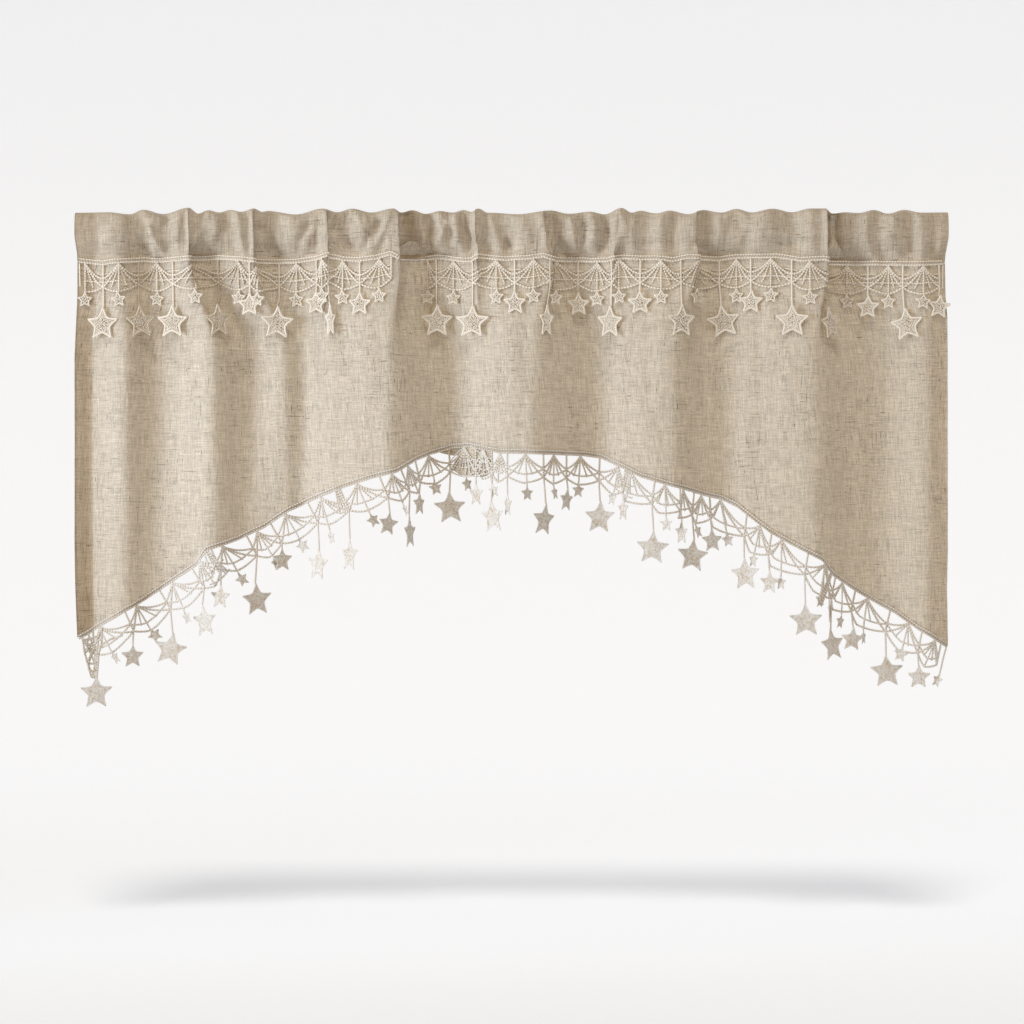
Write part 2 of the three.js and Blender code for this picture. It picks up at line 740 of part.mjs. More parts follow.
// A point of a flat star that hangs at a centre, turned about its thread and leaning in its own plane.
function starPoint(vertex, rest) {
  const { centre, turn, lean } = rest;
  const side = vertex.side * Math.cos(lean) - vertex.down * Math.sin(lean);
  const down = vertex.down * Math.cos(lean) + vertex.side * Math.sin(lean);
  const back = new THREE.Vector3(side * Math.cos(turn), side * Math.sin(turn), -down).add(centre);
  const facing = new THREE.Vector3(Math.sin(turn), -Math.cos(turn), 0);
  const through = facing.multiplyScalar(LACE_THICKNESS);
  return { back, through, fixed: true };
}

// The seam lace lies on the linen. Each star rests on the folds behind it.
function upperLayout() {
  const rootX = rootLine(UPPER_REPEATS);
  const spot = (across, reach) => ({ x: rootX(across), level: UPPER_BRAID_FOOT + reach });
  const limit = (x, level) => {
    const onTail = 1 - smooth((level - POCKET_HEIGHT) / TAIL_FADE);
    return frontOfLinen(x, level, lerp(LINEN_HALF, TAIL_HALF, onTail), UPPER_CLEARANCE);
  };
  const rests = new Map();
  const restOf = (across, size) => {
    if (!rests.has(across)) {
      const { x, level } = spot(across, size.centre);
      const reach = size.radius * STAR_REST_SHARE;
      const slope = clothY(x + reach, level) - clothY(x - reach, level);
      const turn = Math.atan2(slope, 2 * reach);
      let y = Infinity;
      for (let step = -STAR_REST_STEPS; step <= STAR_REST_STEPS; step += 1) {
        for (const rise of [-STAR_TIP_SHARE, 0, STAR_TIP_SHARE]) {
          const away = (step / STAR_REST_STEPS) * size.radius * Math.cos(turn);
          const allowed = limit(x + away, level + rise * size.radius);
          y = Math.min(y, allowed - away * Math.tan(turn));
        }
      }
      rests.set(across, { centre: new THREE.Vector3(x, y, -level), turn, lean: 0 });
    }
    return rests.get(across);
  };
  const point = (vertex) => {
    if (vertex.star) return starPoint(vertex, restOf(vertex.across, vertex.star));
    const { x, level } = spot(vertex.across, vertex.reach);
    const offBraid = smooth(vertex.reach / BRAID_FADE);
    const clearance = lerp(TAIL_HALF + UPPER_CLEARANCE, LINEN_HALF + NET_CLEARANCE, offBraid);
    return netPoint(x, level, clearance);
  };
  return { rootX, spot, point, limit };
}

// The edge lace hangs from the arched edge. Its net stands square to the edge and its stars hang free.
function lowerLayout() {
  const rootX = rootLine(LOWER_REPEATS);
  const ribDirection = (x) => {
    const left = Math.max(x - EDGE_SLOPE_SPAN, -HALF_WIDTH);
    const right = Math.min(x + EDGE_SLOPE_SPAN, HALF_WIDTH);
    const slope = (edgeLevel(right) - edgeLevel(left)) / (right - left);
    const length = Math.hypot(1, slope);
    return { side: -slope / length, down: 1 / length };
  };
  const spot = (across, reach) => {
    const x = rootX(across);
    const rib = ribDirection(x);
    return { x: x + rib.side * reach, level: edgeLevel(x) + BRAID_WIDTH / 2 + rib.down * reach };
  };
  const limit = (x, level) => {
    if (level > edgeLevel(x) + EDGE_FREE) return Infinity;
    return frontOfLinen(x, level, LINEN_HALF, LOWER_CLEARANCE);
  };
  const restOf = (across, size) => {
    const isSmall = size === STARS.small;
    const rib = ribDirection(rootX(across));
    const knot = spot(across, isSmall ? size.centre : WEB_KNOT);
    const level = isSmall ? knot.level : knot.level + size.centre - WEB_KNOT;
    const tangent = clothDirection(knot.x, level);
    const own = isSmall ? 0 : LOWER_REPEATS[Math.floor(across)].turn;
    const turn = isSmall ? Math.atan2(tangent.back, tangent.along) / 2 : THREE.MathUtils.degToRad(own);
    const centre = new THREE.Vector3(knot.x, clothY(knot.x, level) - LINEN_HALF - size.stand, -level);
    return { centre, turn, lean: isSmall ? Math.asin(-rib.side) : 0 };
  };
  const point = (vertex) => {
    if (vertex.star) return starPoint(vertex, restOf(vertex.across, vertex.star));
    const { x, level } = spot(vertex.across, vertex.reach);
    return netPoint(x, level, LINEN_HALF + LOWER_CLEARANCE);
  };
  return { rootX, spot, point, limit };
}

const curtain = new THREE.Group();
curtain.add(rodPocket());
curtain.add(linenPanel());
curtain.add(laceTrim('upper_lace', UPPER_REPEATS, upperLayout()));
curtain.add(laceTrim('lower_lace', LOWER_REPEATS, lowerLayout()));

export default curtain;
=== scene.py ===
"""A gathered linen valance with star lace, hung by its rod pocket.

Tables and functions work in millimetres. A level is a distance below the middle of the top edge,
the front faces -Y, and meshes are scaled to metres when they are made.
"""
import math
from collections import namedtuple

import bpy
import numpy as np
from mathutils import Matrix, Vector


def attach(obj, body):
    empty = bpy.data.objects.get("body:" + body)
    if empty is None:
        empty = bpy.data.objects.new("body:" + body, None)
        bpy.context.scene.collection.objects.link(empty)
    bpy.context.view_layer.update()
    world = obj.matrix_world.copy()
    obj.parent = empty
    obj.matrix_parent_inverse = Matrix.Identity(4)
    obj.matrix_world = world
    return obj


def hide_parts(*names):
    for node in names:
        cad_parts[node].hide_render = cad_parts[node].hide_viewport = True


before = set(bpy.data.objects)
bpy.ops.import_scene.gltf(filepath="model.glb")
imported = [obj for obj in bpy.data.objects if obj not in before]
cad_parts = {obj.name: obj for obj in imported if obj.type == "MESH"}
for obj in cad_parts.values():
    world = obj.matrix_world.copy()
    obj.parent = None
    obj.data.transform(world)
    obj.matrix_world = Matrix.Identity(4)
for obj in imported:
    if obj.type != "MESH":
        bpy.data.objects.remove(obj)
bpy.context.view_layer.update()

MM = 0.001
HALF_WIDTH = 546.0
POCKET_HEIGHT = 57.0
# Half the thickness of the linen, and of the doubled linen at the foot of the pocket.
LINEN_HALF = 0.55
TAIL_HALF = 1.3
HEM_WIDTH = 24.0


def rows_of(columns, *rows):
    """A table whose rows are read by the names of their columns."""
    return [dict(zip(columns.split(), row)) for row in rows]


# Folds of the panel. crest and valley: their places at the seam, low_crest and low_valley further
# down. front and back: how far they stand there, low_ further down and hem_ at the lower edge.
# lap: how far the crest hangs over its valley at the seam, fade: the drop in which that goes.
# rise: how late the cloth turns forward to the crest, broad: how even that side of the fold is.
FOLDS = rows_of(
    "crest valley low_crest low_valley front back low_front low_back hem_front hem_back lap fade rise broad",
    (-492, -452, -483, -450, 9, 5, 13, 8, 11, 5, 0, 120, 0.8, 0.9),
    (-403, -381, -372, -334, 14, 8, 19, 12, 18, 3, 1, 130, 1.35, 0.3),
    (-322, -304, -284, -263, 14, 6, 4, 5, -6, 11, 0.9, 100, 0.8, 0.2),
    (-140, -118, -155, -80, 15, 15, 22, 24, 22, 24, 1, 160, 0.8, 0.9),
    (50, 68, 20, 105, 14, 8, 22, 18, 22, 18, 0.8, 110, 0.7, 0.1),
    (231, 250, 196, 249, 11, 8, 20, 12, 20, 12, 0.8, 90, 0.65, 0.1),
    (392, 412, 372, 436, 15, 10, 22, 17, 22, 15, 1, 150, 0.85, 0.7),
    (512, 550, 516, 550, 9, 1, 6, 4, 7, 4, 0, 100, 1.3, 0.5),
)
# The drops in which the folds settle, and where and in what drop they change again to the hem.
FOLD_SETTLE = 120.0
HEM_SETTLE_FROM, HEM_SETTLE = 200.0, 220.0
# The left side hem turns forward: its inner line, how far it stands at the seam and lower down,
# and the share of that by which its inner line stands back.
LEFT_HEM_LINE = -525.0
LEFT_HEM_STAND = (1.0, 6.5)
LEFT_HEM_BACK = 0.3
# The folds run on to this far outside the half width.
EDGE_SPARE = 4.0
# How far a lap turns back past its own half width, on the panel, its pleats and the pocket.
PANEL_LAP, PLEAT_LAP, POCKET_LAP = 1.6, 0.8, 1.2

# Short pleats that start at the seam and die out below it.
PLEATS = rows_of(
    "crest rise left right reach lap",
    (-230, 7, 34, 13, 150, 1), (-43, 7, 36, 13, 130, 0.9), (127, 6, 34, 13, 120, 0.7),
    (452, 5, 26, 26, 210, 0),
)

# Gathers of the heading from left to right: where each ridge or dip meets the top edge, the middle
# of the heading and the seam, how far it stands out, and whether the next dip lies under it.
GATHERS = [
    (-548, -548, -548, 4, 0), (-506, -512, -508, 1.9, 0), (-485, -494, -493, 9, 0),
    (-466, -458, -455, -4.7, 0), (-452, -447, -444, 8.4, 0), (-441, -440, -437, 5.1, 0),
    (-430, -428, -427, -0.8, 0), (-419, -417, -418, 5.8, 0), (-408, -407, -408, 0.5, 0),
    (-404, -402, -403, 10.3, 1), (-390, -391, -391, -0.8, 0), (-370, -370, -375, 7.7, 0),
    (-354, -350, -348, -5.3, 0), (-342, -340, -336, 7.7, 0), (-330, -329, -328, 3.1, 0),
    (-324, -322, -322, 11, 1), (-304, -299, -298, -4.7, 0), (-276, -269, -270, 7.7, 0),
    (-245, -244, -245, -2.7, 0), (-232, -230, -230, 11, 1), (-210, -205, -201, -4, 0),
    (-187, -181, -176, 9, 0), (-168, -167, -165, 1.9, 0), (-150, -150, -150, 9, 0),
    (-142, -141, -141, 11.5, 1), (-131, -128, -122, -16, 0), (-118, -112, -112, -4.7, 0),
    (-106, -100, -104, -11.2, 0), (-96, -88, -90, 6.4, 0), (-86, -78, -74, -2.7, 0),
    (-72, -69, -63, 5.1, 0), (-55, -54, -50, -6, 0), (-46, -46, -42, 11, 1), (-37, -34, -31, -4, 0),
    (-28, -19, -16, 5.8, 0), (-14, -2, -4, -4, 0), (5, 15, 13, 7.7, 0), (27, 32, 34, 3.8, 0),
    (38, 42, 43, 9.7, 1), (53, 54, 58, -7.2, 0), (75, 75, 72, 5.8, 0), (89, 90, 86, -2, 0),
    (100, 104, 103, 7.7, 0), (108, 118, 119, -4.7, 0), (120, 128, 129, 7, 0), (133, 135, 136, 3.8, 0),
    (148, 148, 150, 7, 0), (167, 168, 168, -3.4, 0), (185, 186, 187, 9, 0), (202, 202, 205, -4, 0),
    (222, 220, 221, 7.7, 0), (230, 229, 230, 10.3, 1), (240, 240, 242, -7.2, 0),
    (261, 261, 263, 5.1, 0), (281, 286, 285, -4.7, 0), (310, 308, 310, 10.3, 0),
    (341, 354, 347, -2.7, 0), (370, 372, 374, 8.4, 0), (384, 386, 387, 6.4, 0),
    (391, 392, 392, 11.5, 1), (400, 401, 405, -16, 0), (418, 414, 420, -3.4, 0),
    (427, 428, 436, 2.5, 0), (439, 440, 452, 7, 0), (455, 452, 463, -2, 0), (473, 471, 480, 7, 0),
    (494, 497, 498, -4.7, 0), (508, 510, 511, 5.8, 0), (524, 523, 522, -0.1, 0),
    (540, 539, 538, 4.5, 0), (548, 548, 548, 3, 0),
]
# Below the seam the gathers go on as ripples: their mean depth, share left and the drop they fade in.
RIPPLE_MEAN, RIPPLE_SHARE, RIPPLE_DROP = 4.5, 0.22, 42.0
# Small unevenness of the panel: seed, size across and along, height, the drop in which it starts.
PANEL_WAVES = [(3, 75, 420, 0.9, 60), (4, 28, 120, 0.35, 40)]
# The same on the pocket: seed, size across and along, height.
POCKET_WAVES = [(7, 22, 60, 0.7), (8, 9, 34, 0.4)]

# Slanting folds on the face of the pocket: points (x, level) down its line, push, width. A push
# of more than 0 makes a hollow.
SLANTS = [
    ([(-517.5, 8.8), (-516.2, 46.2)], 2, 4), ([(-502.5, 16.2), (-505, 46.2)], -2.5, 7),
    ([(-478.8, 6.2), (-473.8, 21.2), (-465, 37.5), (-457.5, 51.2)], 4.5, 6),
    ([(-462.5, -1.2), (-455, 16.2), (-442.5, 36.2), (-435, 51.2)], -4, 5),
    ([(-430, 8.8), (-442.5, 28.8)], 2.5, 5), ([(-410, 1.2), (-420, 31.2)], -2, 5),
    ([(-361.2, 3.8), (-360, 21.2), (-366.2, 41.2)], 4.5, 7),
    ([(-378.8, 1.2), (-385, 18.8), (-397.5, 41.2)], -4, 5),
    ([(-342.5, -1.2), (-338.8, 21.2), (-333.8, 46.2)], -3, 5),
    ([(-315, 11.2), (-301.2, 31.2), (-293.8, 51.2)], 5, 6),
    ([(-253.8, 16.2), (-266.2, 33.8), (-267.5, 48.8)], 4, 6),
    ([(-242.5, -1.2), (-248.8, 21.2), (-255, 41.2)], -3.5, 5),
    ([(-221.2, 3.8), (-215, 21.2), (-200, 41.2)], 5, 6),
    ([(-205, -3.8), (-190, 13.8), (-185, 28.8)], -3, 6),
    ([(-165, 13.8), (-178.8, 31.2), (-187.5, 48.8)], 4.5, 6),
    ([(-152.5, 3.8), (-162.5, 28.8), (-172.5, 46.2)], -4, 5),
    ([(-115, 8.8), (-117.5, 33.8), (-127.5, 51.2)], 4, 8),
    ([(-92.5, -1.2), (-81.2, 13.8), (-86.2, 28.8), (-102.5, 48.8)], -5, 5),
    ([(-98.8, 11.2), (-100, 28.8)], 3.5, 5),
    ([(-62.5, 1.2), (-61.2, 18.8), (-48.8, 33.8), (-45, 46.2)], 5.5, 5),
    ([(-53.8, 1.2), (-52.5, 16.2)], -3, 4), ([(-70, 8.8), (-67.5, 33.8)], -3, 5),
    ([(-21.2, 8.8), (-10, 31.2), (0, 48.8)], 4.5, 6), ([(47.5, 8.8), (53.8, 28.8), (70, 48.8)], 5.5, 7),
    ([(72.5, 8.8), (77.5, 28.8), (82.5, 46.2)], -3.5, 5), ([(86.2, 21.2), (86.2, 46.2)], 3, 5),
    ([(100, 3.8), (101.2, 21.2), (95, 46.2)], -3, 5),
    ([(121.2, 8.8), (116.2, 28.8), (110, 46.2)], 5, 6),
    ([(133.8, 1.2), (140, 21.2), (130, 46.2)], -4, 6), ([(195, 13.8), (193.8, 48.8)], 2.5, 7),
    ([(210, 11.2), (206.2, 46.2)], -2.5, 5), ([(233.8, 3.8), (235, 28.8), (225, 48.8)], 5, 7),
    ([(270, 13.8), (265, 46.2)], 4.5, 7), ([(282.5, -1.2), (293.8, 13.8), (282.5, 41.2)], -4, 6),
]
# They start this far over the first point, end this far under the last, and soften over a length.
SLANT_START, SLANT_END, SLANT_SOFT = 9.0, 8.0, 12.0

# The top edge: how far it rises over, or dips under, the plane of the mount.
TOP_EDGE = [
    (-548, 0), (-505, 0.5), (-478, -2), (-461, 4), (-436, -1.5), (-404, 6), (-392, -1), (-380, 3.5),
    (-366, 0.5), (-352, 3.5), (-338, 1), (-322, 5), (-312, 1), (-306, 2.5), (-270, -2), (-237, 5),
    (-218, 0.5), (-200, 5), (-176, 0), (-148, 5), (-138, 0), (-124, 3.5), (-108, -1), (-90, 2.5),
    (-74, 0.5), (-60, 3.5), (-51, 1), (-42, 5), (-30, 0), (8, -2), (48, 2.5), (72, -1), (97, 1.5),
    (116, -2), (137, 6), (150, 0), (160, 2.5), (180, -1), (197, 2.5), (220, -2), (240, 3.5), (262, 0.5),
    (280, 5), (300, 0.5), (325, 5), (350, 0.5), (372, 5), (391, 5), (400, -1), (417, 1), (434, 0),
    (452, 3.5), (470, -1), (490, 3.5), (512, 0), (548, 0.5),
]
TOP_EDGE_FADE = 26.0

# How far the seam hangs under or over its level where the laps pull it.
SEAM_LINE = [
    (-548, 3.2), (-510, 7), (-500, 5.8), (-460, 2), (-440, 3.2), (-410, 2), (-370, -0.5), (-350, 0.8),
    (-340, 2), (-320, 4.5), (-270, 4.5), (-260, 3.2), (-250, 2), (-240, 0.8), (-230, -3), (-210, 2),
    (-190, 3.2), (-170, 0.8), (-160, -1.8), (-150, -4.2), (-140, 0.8), (-110, -0.5), (-90, -1.8),
    (-80, -0.5), (-60, 3.2), (-50, 3.2), (-40, -1.8), (-30, -0.5), (-10, 2), (20, 0.8), (30, -0.5),
    (40, -1.8), (50, 2), (90, 2), (100, 3.2), (120, 3.2), (130, 0.8), (140, -0.5), (160, 0.8),
    (180, 0.8), (200, 3.2), (220, -0.5), (260, 0.8), (280, -1.8), (330, -1.8), (340, -0.5), (360, 3.2),
    (390, 2), (400, 5.8), (460, 7), (510, 8.2), (548, 5.8),
]
SEAM_FADE = 170.0

# The side edges: a level, and how far in the left and right edges hang there, in a band.
SIDE_EDGES = [
    (0, 1, 2), (28, 1, 2), (52, 3, 5), (100, 3, 4), (128, 2, 1.5), (180, 0, 1), (420, 0, 1),
    (470, 1, 2), (530, 3.5, 1), (560, 4, 1),
]
SIDE_BAND = 50.0

# The arched lower edge: its level at each distance from the middle.
LOWER_EDGE = [
    (-546, 531), (-495, 504), (-439, 468), (-392, 438), (-380, 420), (-345, 407), (-312, 392),
    (-279, 370), (-250, 357), (-213, 342), (-176, 330), (-144, 322), (-121, 307), (-103, 299),
    (-74, 291), (-52, 290), (-34, 294), (-15, 298), (91, 301), (113, 304), (142, 318), (161, 328),
    (190, 337), (237, 350), (264, 356), (282, 365), (304, 383), (322, 397), (344, 410), (385, 432),
    (399, 451), (425, 467), (451, 482), (480, 498), (509, 519), (546, 542),
]

# Soft creases set one by one: from and to (x, level), half width and depth, a trough if negative.
CREASES = rows_of(
    "x0 l0 x1 l1 half depth",
    (-520, 455, -440, 440, 7, -1), (-515, 430, -455, 424, 6, -0.8), (-505, 395, -430, 372, 9, 0.8),
    (-470, 150, -455, 330, 12, -1.2), (-350, 120, -338, 300, 10, 1), (-262, 110, -250, 280, 12, -1),
    (-196, 75, -182, 230, 10, 1.2), (-85, 70, -66, 210, 11, -1.6), (-18, 80, -8, 190, 10, 1),
    (24, 90, 8, 270, 11, -1), (96, 75, 104, 240, 10, 1.2), (164, 80, 172, 260, 12, -1.2),
    (262, 80, 266, 220, 10, 1), (304, 72, 318, 330, 14, -1.2), (352, 90, 346, 280, 10, 1),
    (430, 100, 424, 340, 10, 1), (462, 90, 470, 360, 11, -1), (500, 430, 540, 452, 8, -0.8),
)

# At the crown of the arch the cloth is tucked under: how far the tuck stands before the middle of
# the panel, then points (x, level where it shows, level of its foot).
TUCKS = [
    (0.75, [
        (-76, 318, 321), (-71, 309, 323), (-65, 299, 327), (-58, 288, 330), (-46, 288, 330),
        (-34, 293, 330), (-30, 295, 328), (-26, 299, 322),
    ]),
    (-1.6, [
        (-96, 293, 296), (-88, 291, 300), (-76, 289, 303), (-62, 287, 303),
    ]),
]

# Radii of the stars, and the depth of each one's centre below the top of the lace.
STARS = {
    "small": dict(radius=10.2, centre=46.5),
    "medium": dict(radius=15.6, centre=54.0),
    "large": dict(radius=21.6, centre=77.0),
}
# Depths below the top of the lace: its top edge on the heading, the swags' low points, their bar,
# the knot of a web, the arc of rays in a fan and the point of the scallop.
BRAID_FOOT = 59.0
WEB_TOP, BAR, WEB_KNOT = 17.0, 22.0, 28.0
FAN_ARC, SCALLOP = 25.0, 36.0
# The lower lace is sewn on with its top this far below the edge of the cloth.
EDGE_BRAID = 3.0

# Lace along the seam: apex of a fan, web on its right, the web's star, a swing of the star in degrees, a
# painted shade of the web and of the small star, from 0, cream, to 1, brown where the lace lies in the shade
# of the folds, and how wide the web's star shows.
UPPER = [
    (-536, -510, "large", 0, 0, 0.1, 1), (-490, -468, "large", 4, 1.25, 0, 0.9),
    (-444, -422, "large", 0, 0, 0.1, 1), (-394, -367, "large", 4, 1, 0, 0.8),
    (-340, -326, "medium", 0, 0, 0.5, 1), (-317, -291, "large", -3, 0.25, 0, 1),
    (-269, -243, "medium", 0, 0.1, 0.35, 1), (-236, -224, "large", 2, 0.1, 0.1, 0.28),
    (-211, -189, "medium", 0, 0.05, 0, 1), (-165, -150, "none", 0, 0.2, 0.1, 1),
    (-106, -94, "large", 0, 0.25, 0.7, 1), (-72, -48, "large", 0, 0, 0.6, 1),
    (-19, 4, "medium", 0, 0.1, 0.1, 1), (27, 47, "large", -3, 0.7, 0.1, 0.45),
    (61, 83, "medium", 0, 0.35, 0.4, 1), (107, 125, "large", -2, 0, 0.2, 0.75),
    (136, 160, "medium", 0, 0, 0.1, 1), (186, 211, "large", 0, 0.55, 0.05, 0.85),
    (233, 260, "large", 8, 0, 0.7, 1), (281, 299, "medium", 0, 0, 0.1, 1),
    (323, 349, "large", 0, 0, 0, 1), (371, 397, "large", 11, 0.9, 0.05, 0.6),
    (420, 446, "medium", 0, 0.15, 0.6, 1), (471, 488, "large", 9, 0.05, 0.15, 1),
    (514, 537, "medium", -5, 0, 0.1, 1),
]
# The rows whose large star has a small one within it.
INNER_STARS = (2, 20)
# The ends of this lace, and the gap in it that a lap of the cloth hides.
UPPER_ENDS = (-544.5, 543.5)
LACE_GAP = (-139.0, -109.0)

# Lace along the arched edge: apex, web, the web's star with its centre (x, level), the degrees it is turned
# about its thread, its painted shade, then the small star's centre, turn and painted shade.
LOWER = [
    (-541, -533, "large", -521, 600, 5, 0.45, None, None, 0, 0.2),
    (-516, -482, "medium", -474, 554, 22, 0.45, -494, 555, 53, 0.2),
    (-470, -441, "large", -427, 546, 5, 0.15, -447, 528, 33, 0.55),
    (-425, -398, "large", -382, 510, 41, 0.1, -405, 505, 52, 0.1),
    (-388, -374, "medium", -364, 480, 30, 0.1, None, None, 0, 0.2),
    (-362, -332, "large", -319, 484, 34, 0.85, -338, 458, 36, 0.5),
    (-319, -302, "medium", -288, 434, 38, 0.8, -296, 438, 60, 0.6),
    (-284, -255, "large", -242, 440, 50, 0.15, -262, 416, 28, 0.2),
    (-239, -214, "large", -202, 428, 58, 0.25, -225, 405, 60, 0.2),
    (-193, -164, "medium", -154, 389, 36, 0.7, -172, 384, 40, 0.5),
    (-150, -139, "large", -129, 400, 73, 0.7, -134, 371, 70, 0.4),
    (-131, -122, "medium", -117, 364, 65, 0.5, None, None, 0, 0.4),
    (-106, -79, "large", -77, 369, 15, 0.95, -97, 344, 32, 0.8),
    (-58, -44, "medium", -44, 352, 54, 0.15, -55, 339, 50, 0.6),
    (-34, -24, "large", -23, 380, 47, 0.05, -22, 347, 52, 0.1),
    (-14, -5, "medium", -5, 365, 73, 0.1, None, None, 0, 0.2),
    (17, 38, "large", 39, 384, 51, 0.9, 19, 351, 40, 0.7),
    (51, 67, "medium", 67, 359, 58, 0.8, 52, 350, 66, 0.7),
    (85, 111, "large", 111, 381, 22, 0.4, 82, 347, 36, 0.8),
    (134, 142, "medium", 140, 371, 68, 0.15, 127, 357, 60, 0.3),
    (150, 178, "large", 175, 419, 5, 0.3, None, None, 0, 0.2),
    (190, 208, "medium", 210, 400, 65, 0.3, 192, 389, 45, 0.3),
    (212, 226, "large", 224, 429, 15, 0.8, 231, 398, 60, 0.5),
    (236, 248, "medium", 251, 410, 27, 0.5, None, None, 0, 0.2),
    (262, 294, "large", 292, 452, 39, 0.2, 271, 409, 43, 0.4),
    (310, 324, "medium", 321, 462, 40, 0.3, 302, 434, 60, 0.4),
    (336, 368, "large", 365, 509, 5, 0.3, 335, 462, 56, 0.3),
    (388, 402, "large", 398, 540, 43, 0.8, 382, 484, 55, 0.5),
    (412, 430, "medium", 426, 534, 10, 0.7, 409, 511, 55, 0.5),
    (446, 474, "large", 470, 574, 5, 0.5, 441, 531, 66, 0.5),
    (496, 512, "medium", 508, 580, 15, 0.2, 487, 552, 36, 0.3),
    (528, 536, "small", 531, 584, 60, 0.1, None, None, 0, 0.2),
]
LOWER_ENDS = (-545.0, 543.5)
# The small star at the right end hangs by a thread from here.
END_THREAD = 543.0
# Stars seen almost from their edge: centre (x, level), radius, turn, painted shade.
EDGE_ON_STARS = [
    (394, 497, 17, 80, 0.6),
]
# Repeats hidden in the folds, seen as crowded threads: centre, width, how far down, painted shade.
CROWDS = [
    (-380, 22, 34, 0.05), (-218, 18, 30, 0.15), (146, 22, 30, 0.15), (396, 8, 44, 0.6),
]
# Threads that lie over the tuck at the crown: from and to (x, level), sag.
CROWN_THREADS = [
    (-58, 292, -79, 313, -0.05), (-58, 292, -77, 322, -0.03), (-58, 292, -66, 316, 0),
    (-58, 292, -61, 320, 0), (-58, 292, -56, 324, 0), (-58, 292, -51, 327, 0),
    (-58, 292, -46, 322, 0.04), (-36, 296, -46, 322, -0.04), (-36, 296, -40, 325, 0),
    (-36, 296, -34, 326, 0), (-36, 296, -27, 327, 0), (-36, 296, -24, 318, 0.05),
    (-77, 322, -58, 329, 0.05), (-58, 329, -36, 327, 0.05), (-36, 327, -20, 322, 0.05),
    (-60, 310, -47, 308, 0.08), (-47, 308, -30, 311, 0.08), (-50, 291, -24, 308, 0.06),
]
# The end of the lace, turned back on itself under the left corner: the points (x, level) of each cord and
# its painted shade.
CORNER = [
    ([(-540.6, 530.6), (-539.4, 540), (-538.1, 550), (-535, 561.2), (-532.5, 571.2), (-529.4, 580),
      (-524.4, 581.2), (-522.5, 576.2)], 0.8),
    ([(-525.6, 522.5), (-525.6, 531.2), (-524.4, 538.8), (-525.6, 546.2), (-530, 555), (-533.8, 562.5),
      (-531.9, 571.2)], 0.9),
    ([(-511.2, 520), (-511.9, 531.2), (-513.8, 542.5), (-516.9, 551.2), (-517.5, 561.2),
      (-518.8, 571.2), (-519.8, 581.2)], 0.45),
    ([(-510, 517.5), (-518.8, 532.5), (-523.8, 542.5), (-528.8, 551.2), (-533.8, 557.5)], 0.3),
    ([(-538.8, 550), (-531.2, 546.2), (-522.5, 542.5), (-513.8, 540.6), (-500, 532.5),
      (-485, 527.5)], 0.35),
    ([(-521.2, 541.2), (-523.1, 551.2), (-522.5, 561.2), (-524.4, 571.2), (-527.5, 578.8)], 0.7),
    ([(-536.2, 558.8), (-530, 563.8), (-522.5, 562.5), (-517.5, 558.8)], 0.6),
    ([(-533.8, 568.8), (-527.5, 573.8), (-521.2, 571.2)], 0.9),
    ([(-532.5, 531.2), (-535, 537.5), (-531.9, 541.2), (-528.1, 537.5), (-530.6, 532.5)], 0.4),
    ([(-540, 533.8), (-532.5, 532.5), (-525.6, 531.2), (-511.2, 525)], 0.5),
    ([(-538.1, 546.2), (-527.5, 540), (-511.2, 531.2)], 0.15),
]

# A thread: half width, half depth, the swell of its beads, how far it lies over the height of the
# lace, and the pitch of its beads.
Thread = namedtuple("Thread", "width depth bead off pitch")
# The pitch, or step, of threads without beads.
PLAIN_PITCH = 2.6
# Swags and scallops of the fine lace on the seam: thread and sag.
SEAM_LACE = dict(
    swag=(Thread(1.15, 0.9, 0.38, 0.2, 3.5), 0.13), low_swag=(Thread(1.25, 0.95, 0.4, 0.15, 3.6), 0.09),
    scallop=(Thread(1.15, 0.9, 0.45, 0.1, 4.0), 0.07),
)
# The thicker ones of the lace that hangs free, which also has fewer of the other threads.
EDGE_LACE = dict(
    swag=(Thread(1.35, 1.05, 0.34, 0.2, 3.7), 0.1), low_swag=(Thread(1.4, 1.05, 0.34, 0.15, 3.8), 0.07),
    scallop=(Thread(1.35, 1.05, 0.36, 0.1, 4.0), 0.06),
)
# The other threads, of the lace on the seam and then of the lace on the edge.
SEAM_RAY = Thread(0.95, 0.75, 0.5, 0.0, 3.3)
SEAM_BAR = Thread(0.85, 0.65, 0.35, 0.0, 3.2)
SEAM_BAR_END = Thread(0.85, 0.65, 0.2, 0.0, 3.2)
SEAM_CROSS = Thread(0.6, 0.5, 0.2, 0.0, 3.1)
SEAM_MESH = Thread(0.38, 0.36, 0.0, 0.0, PLAIN_PITCH)
SEAM_DROP = Thread(1.05, 0.85, 0.3, 0.3, 3.2)
SEAM_WEB = Thread(1.1, 0.9, 0.3, 0.35, PLAIN_PITCH)
SEAM_STAR = Thread(1.2, 0.95, 0.14, 0.35, 3.0)
SEAM_END = Thread(1.0, 0.8, 0.2, 0.1, PLAIN_PITCH)
EDGE_ARC = Thread(1.25, 0.95, 0.34, 0.1, 3.8)
EDGE_RAY = Thread(1.15, 0.9, 0.34, 0.0, 3.7)
EDGE_DROP = Thread(1.2, 0.95, 0.3, 0.3, 3.5)
EDGE_WEB = Thread(1.35, 1.1, 0.28, 0.35, 3.5)
EDGE_STAR = Thread(1.2, 1.0, 0.22, 0.4, 3.2)
CROWN = Thread(0.85, 0.7, 0.35, 0.4, 3.3)
CROWD_RAY = Thread(1.2, 0.95, 0.32, 0.0, 3.5)
CROWD_CROSS = Thread(1.2, 0.95, 0.32, 0.0, 3.6)
CORNER_CORD = Thread(1.35, 1.05, 0.34, 0.2, 3.4)
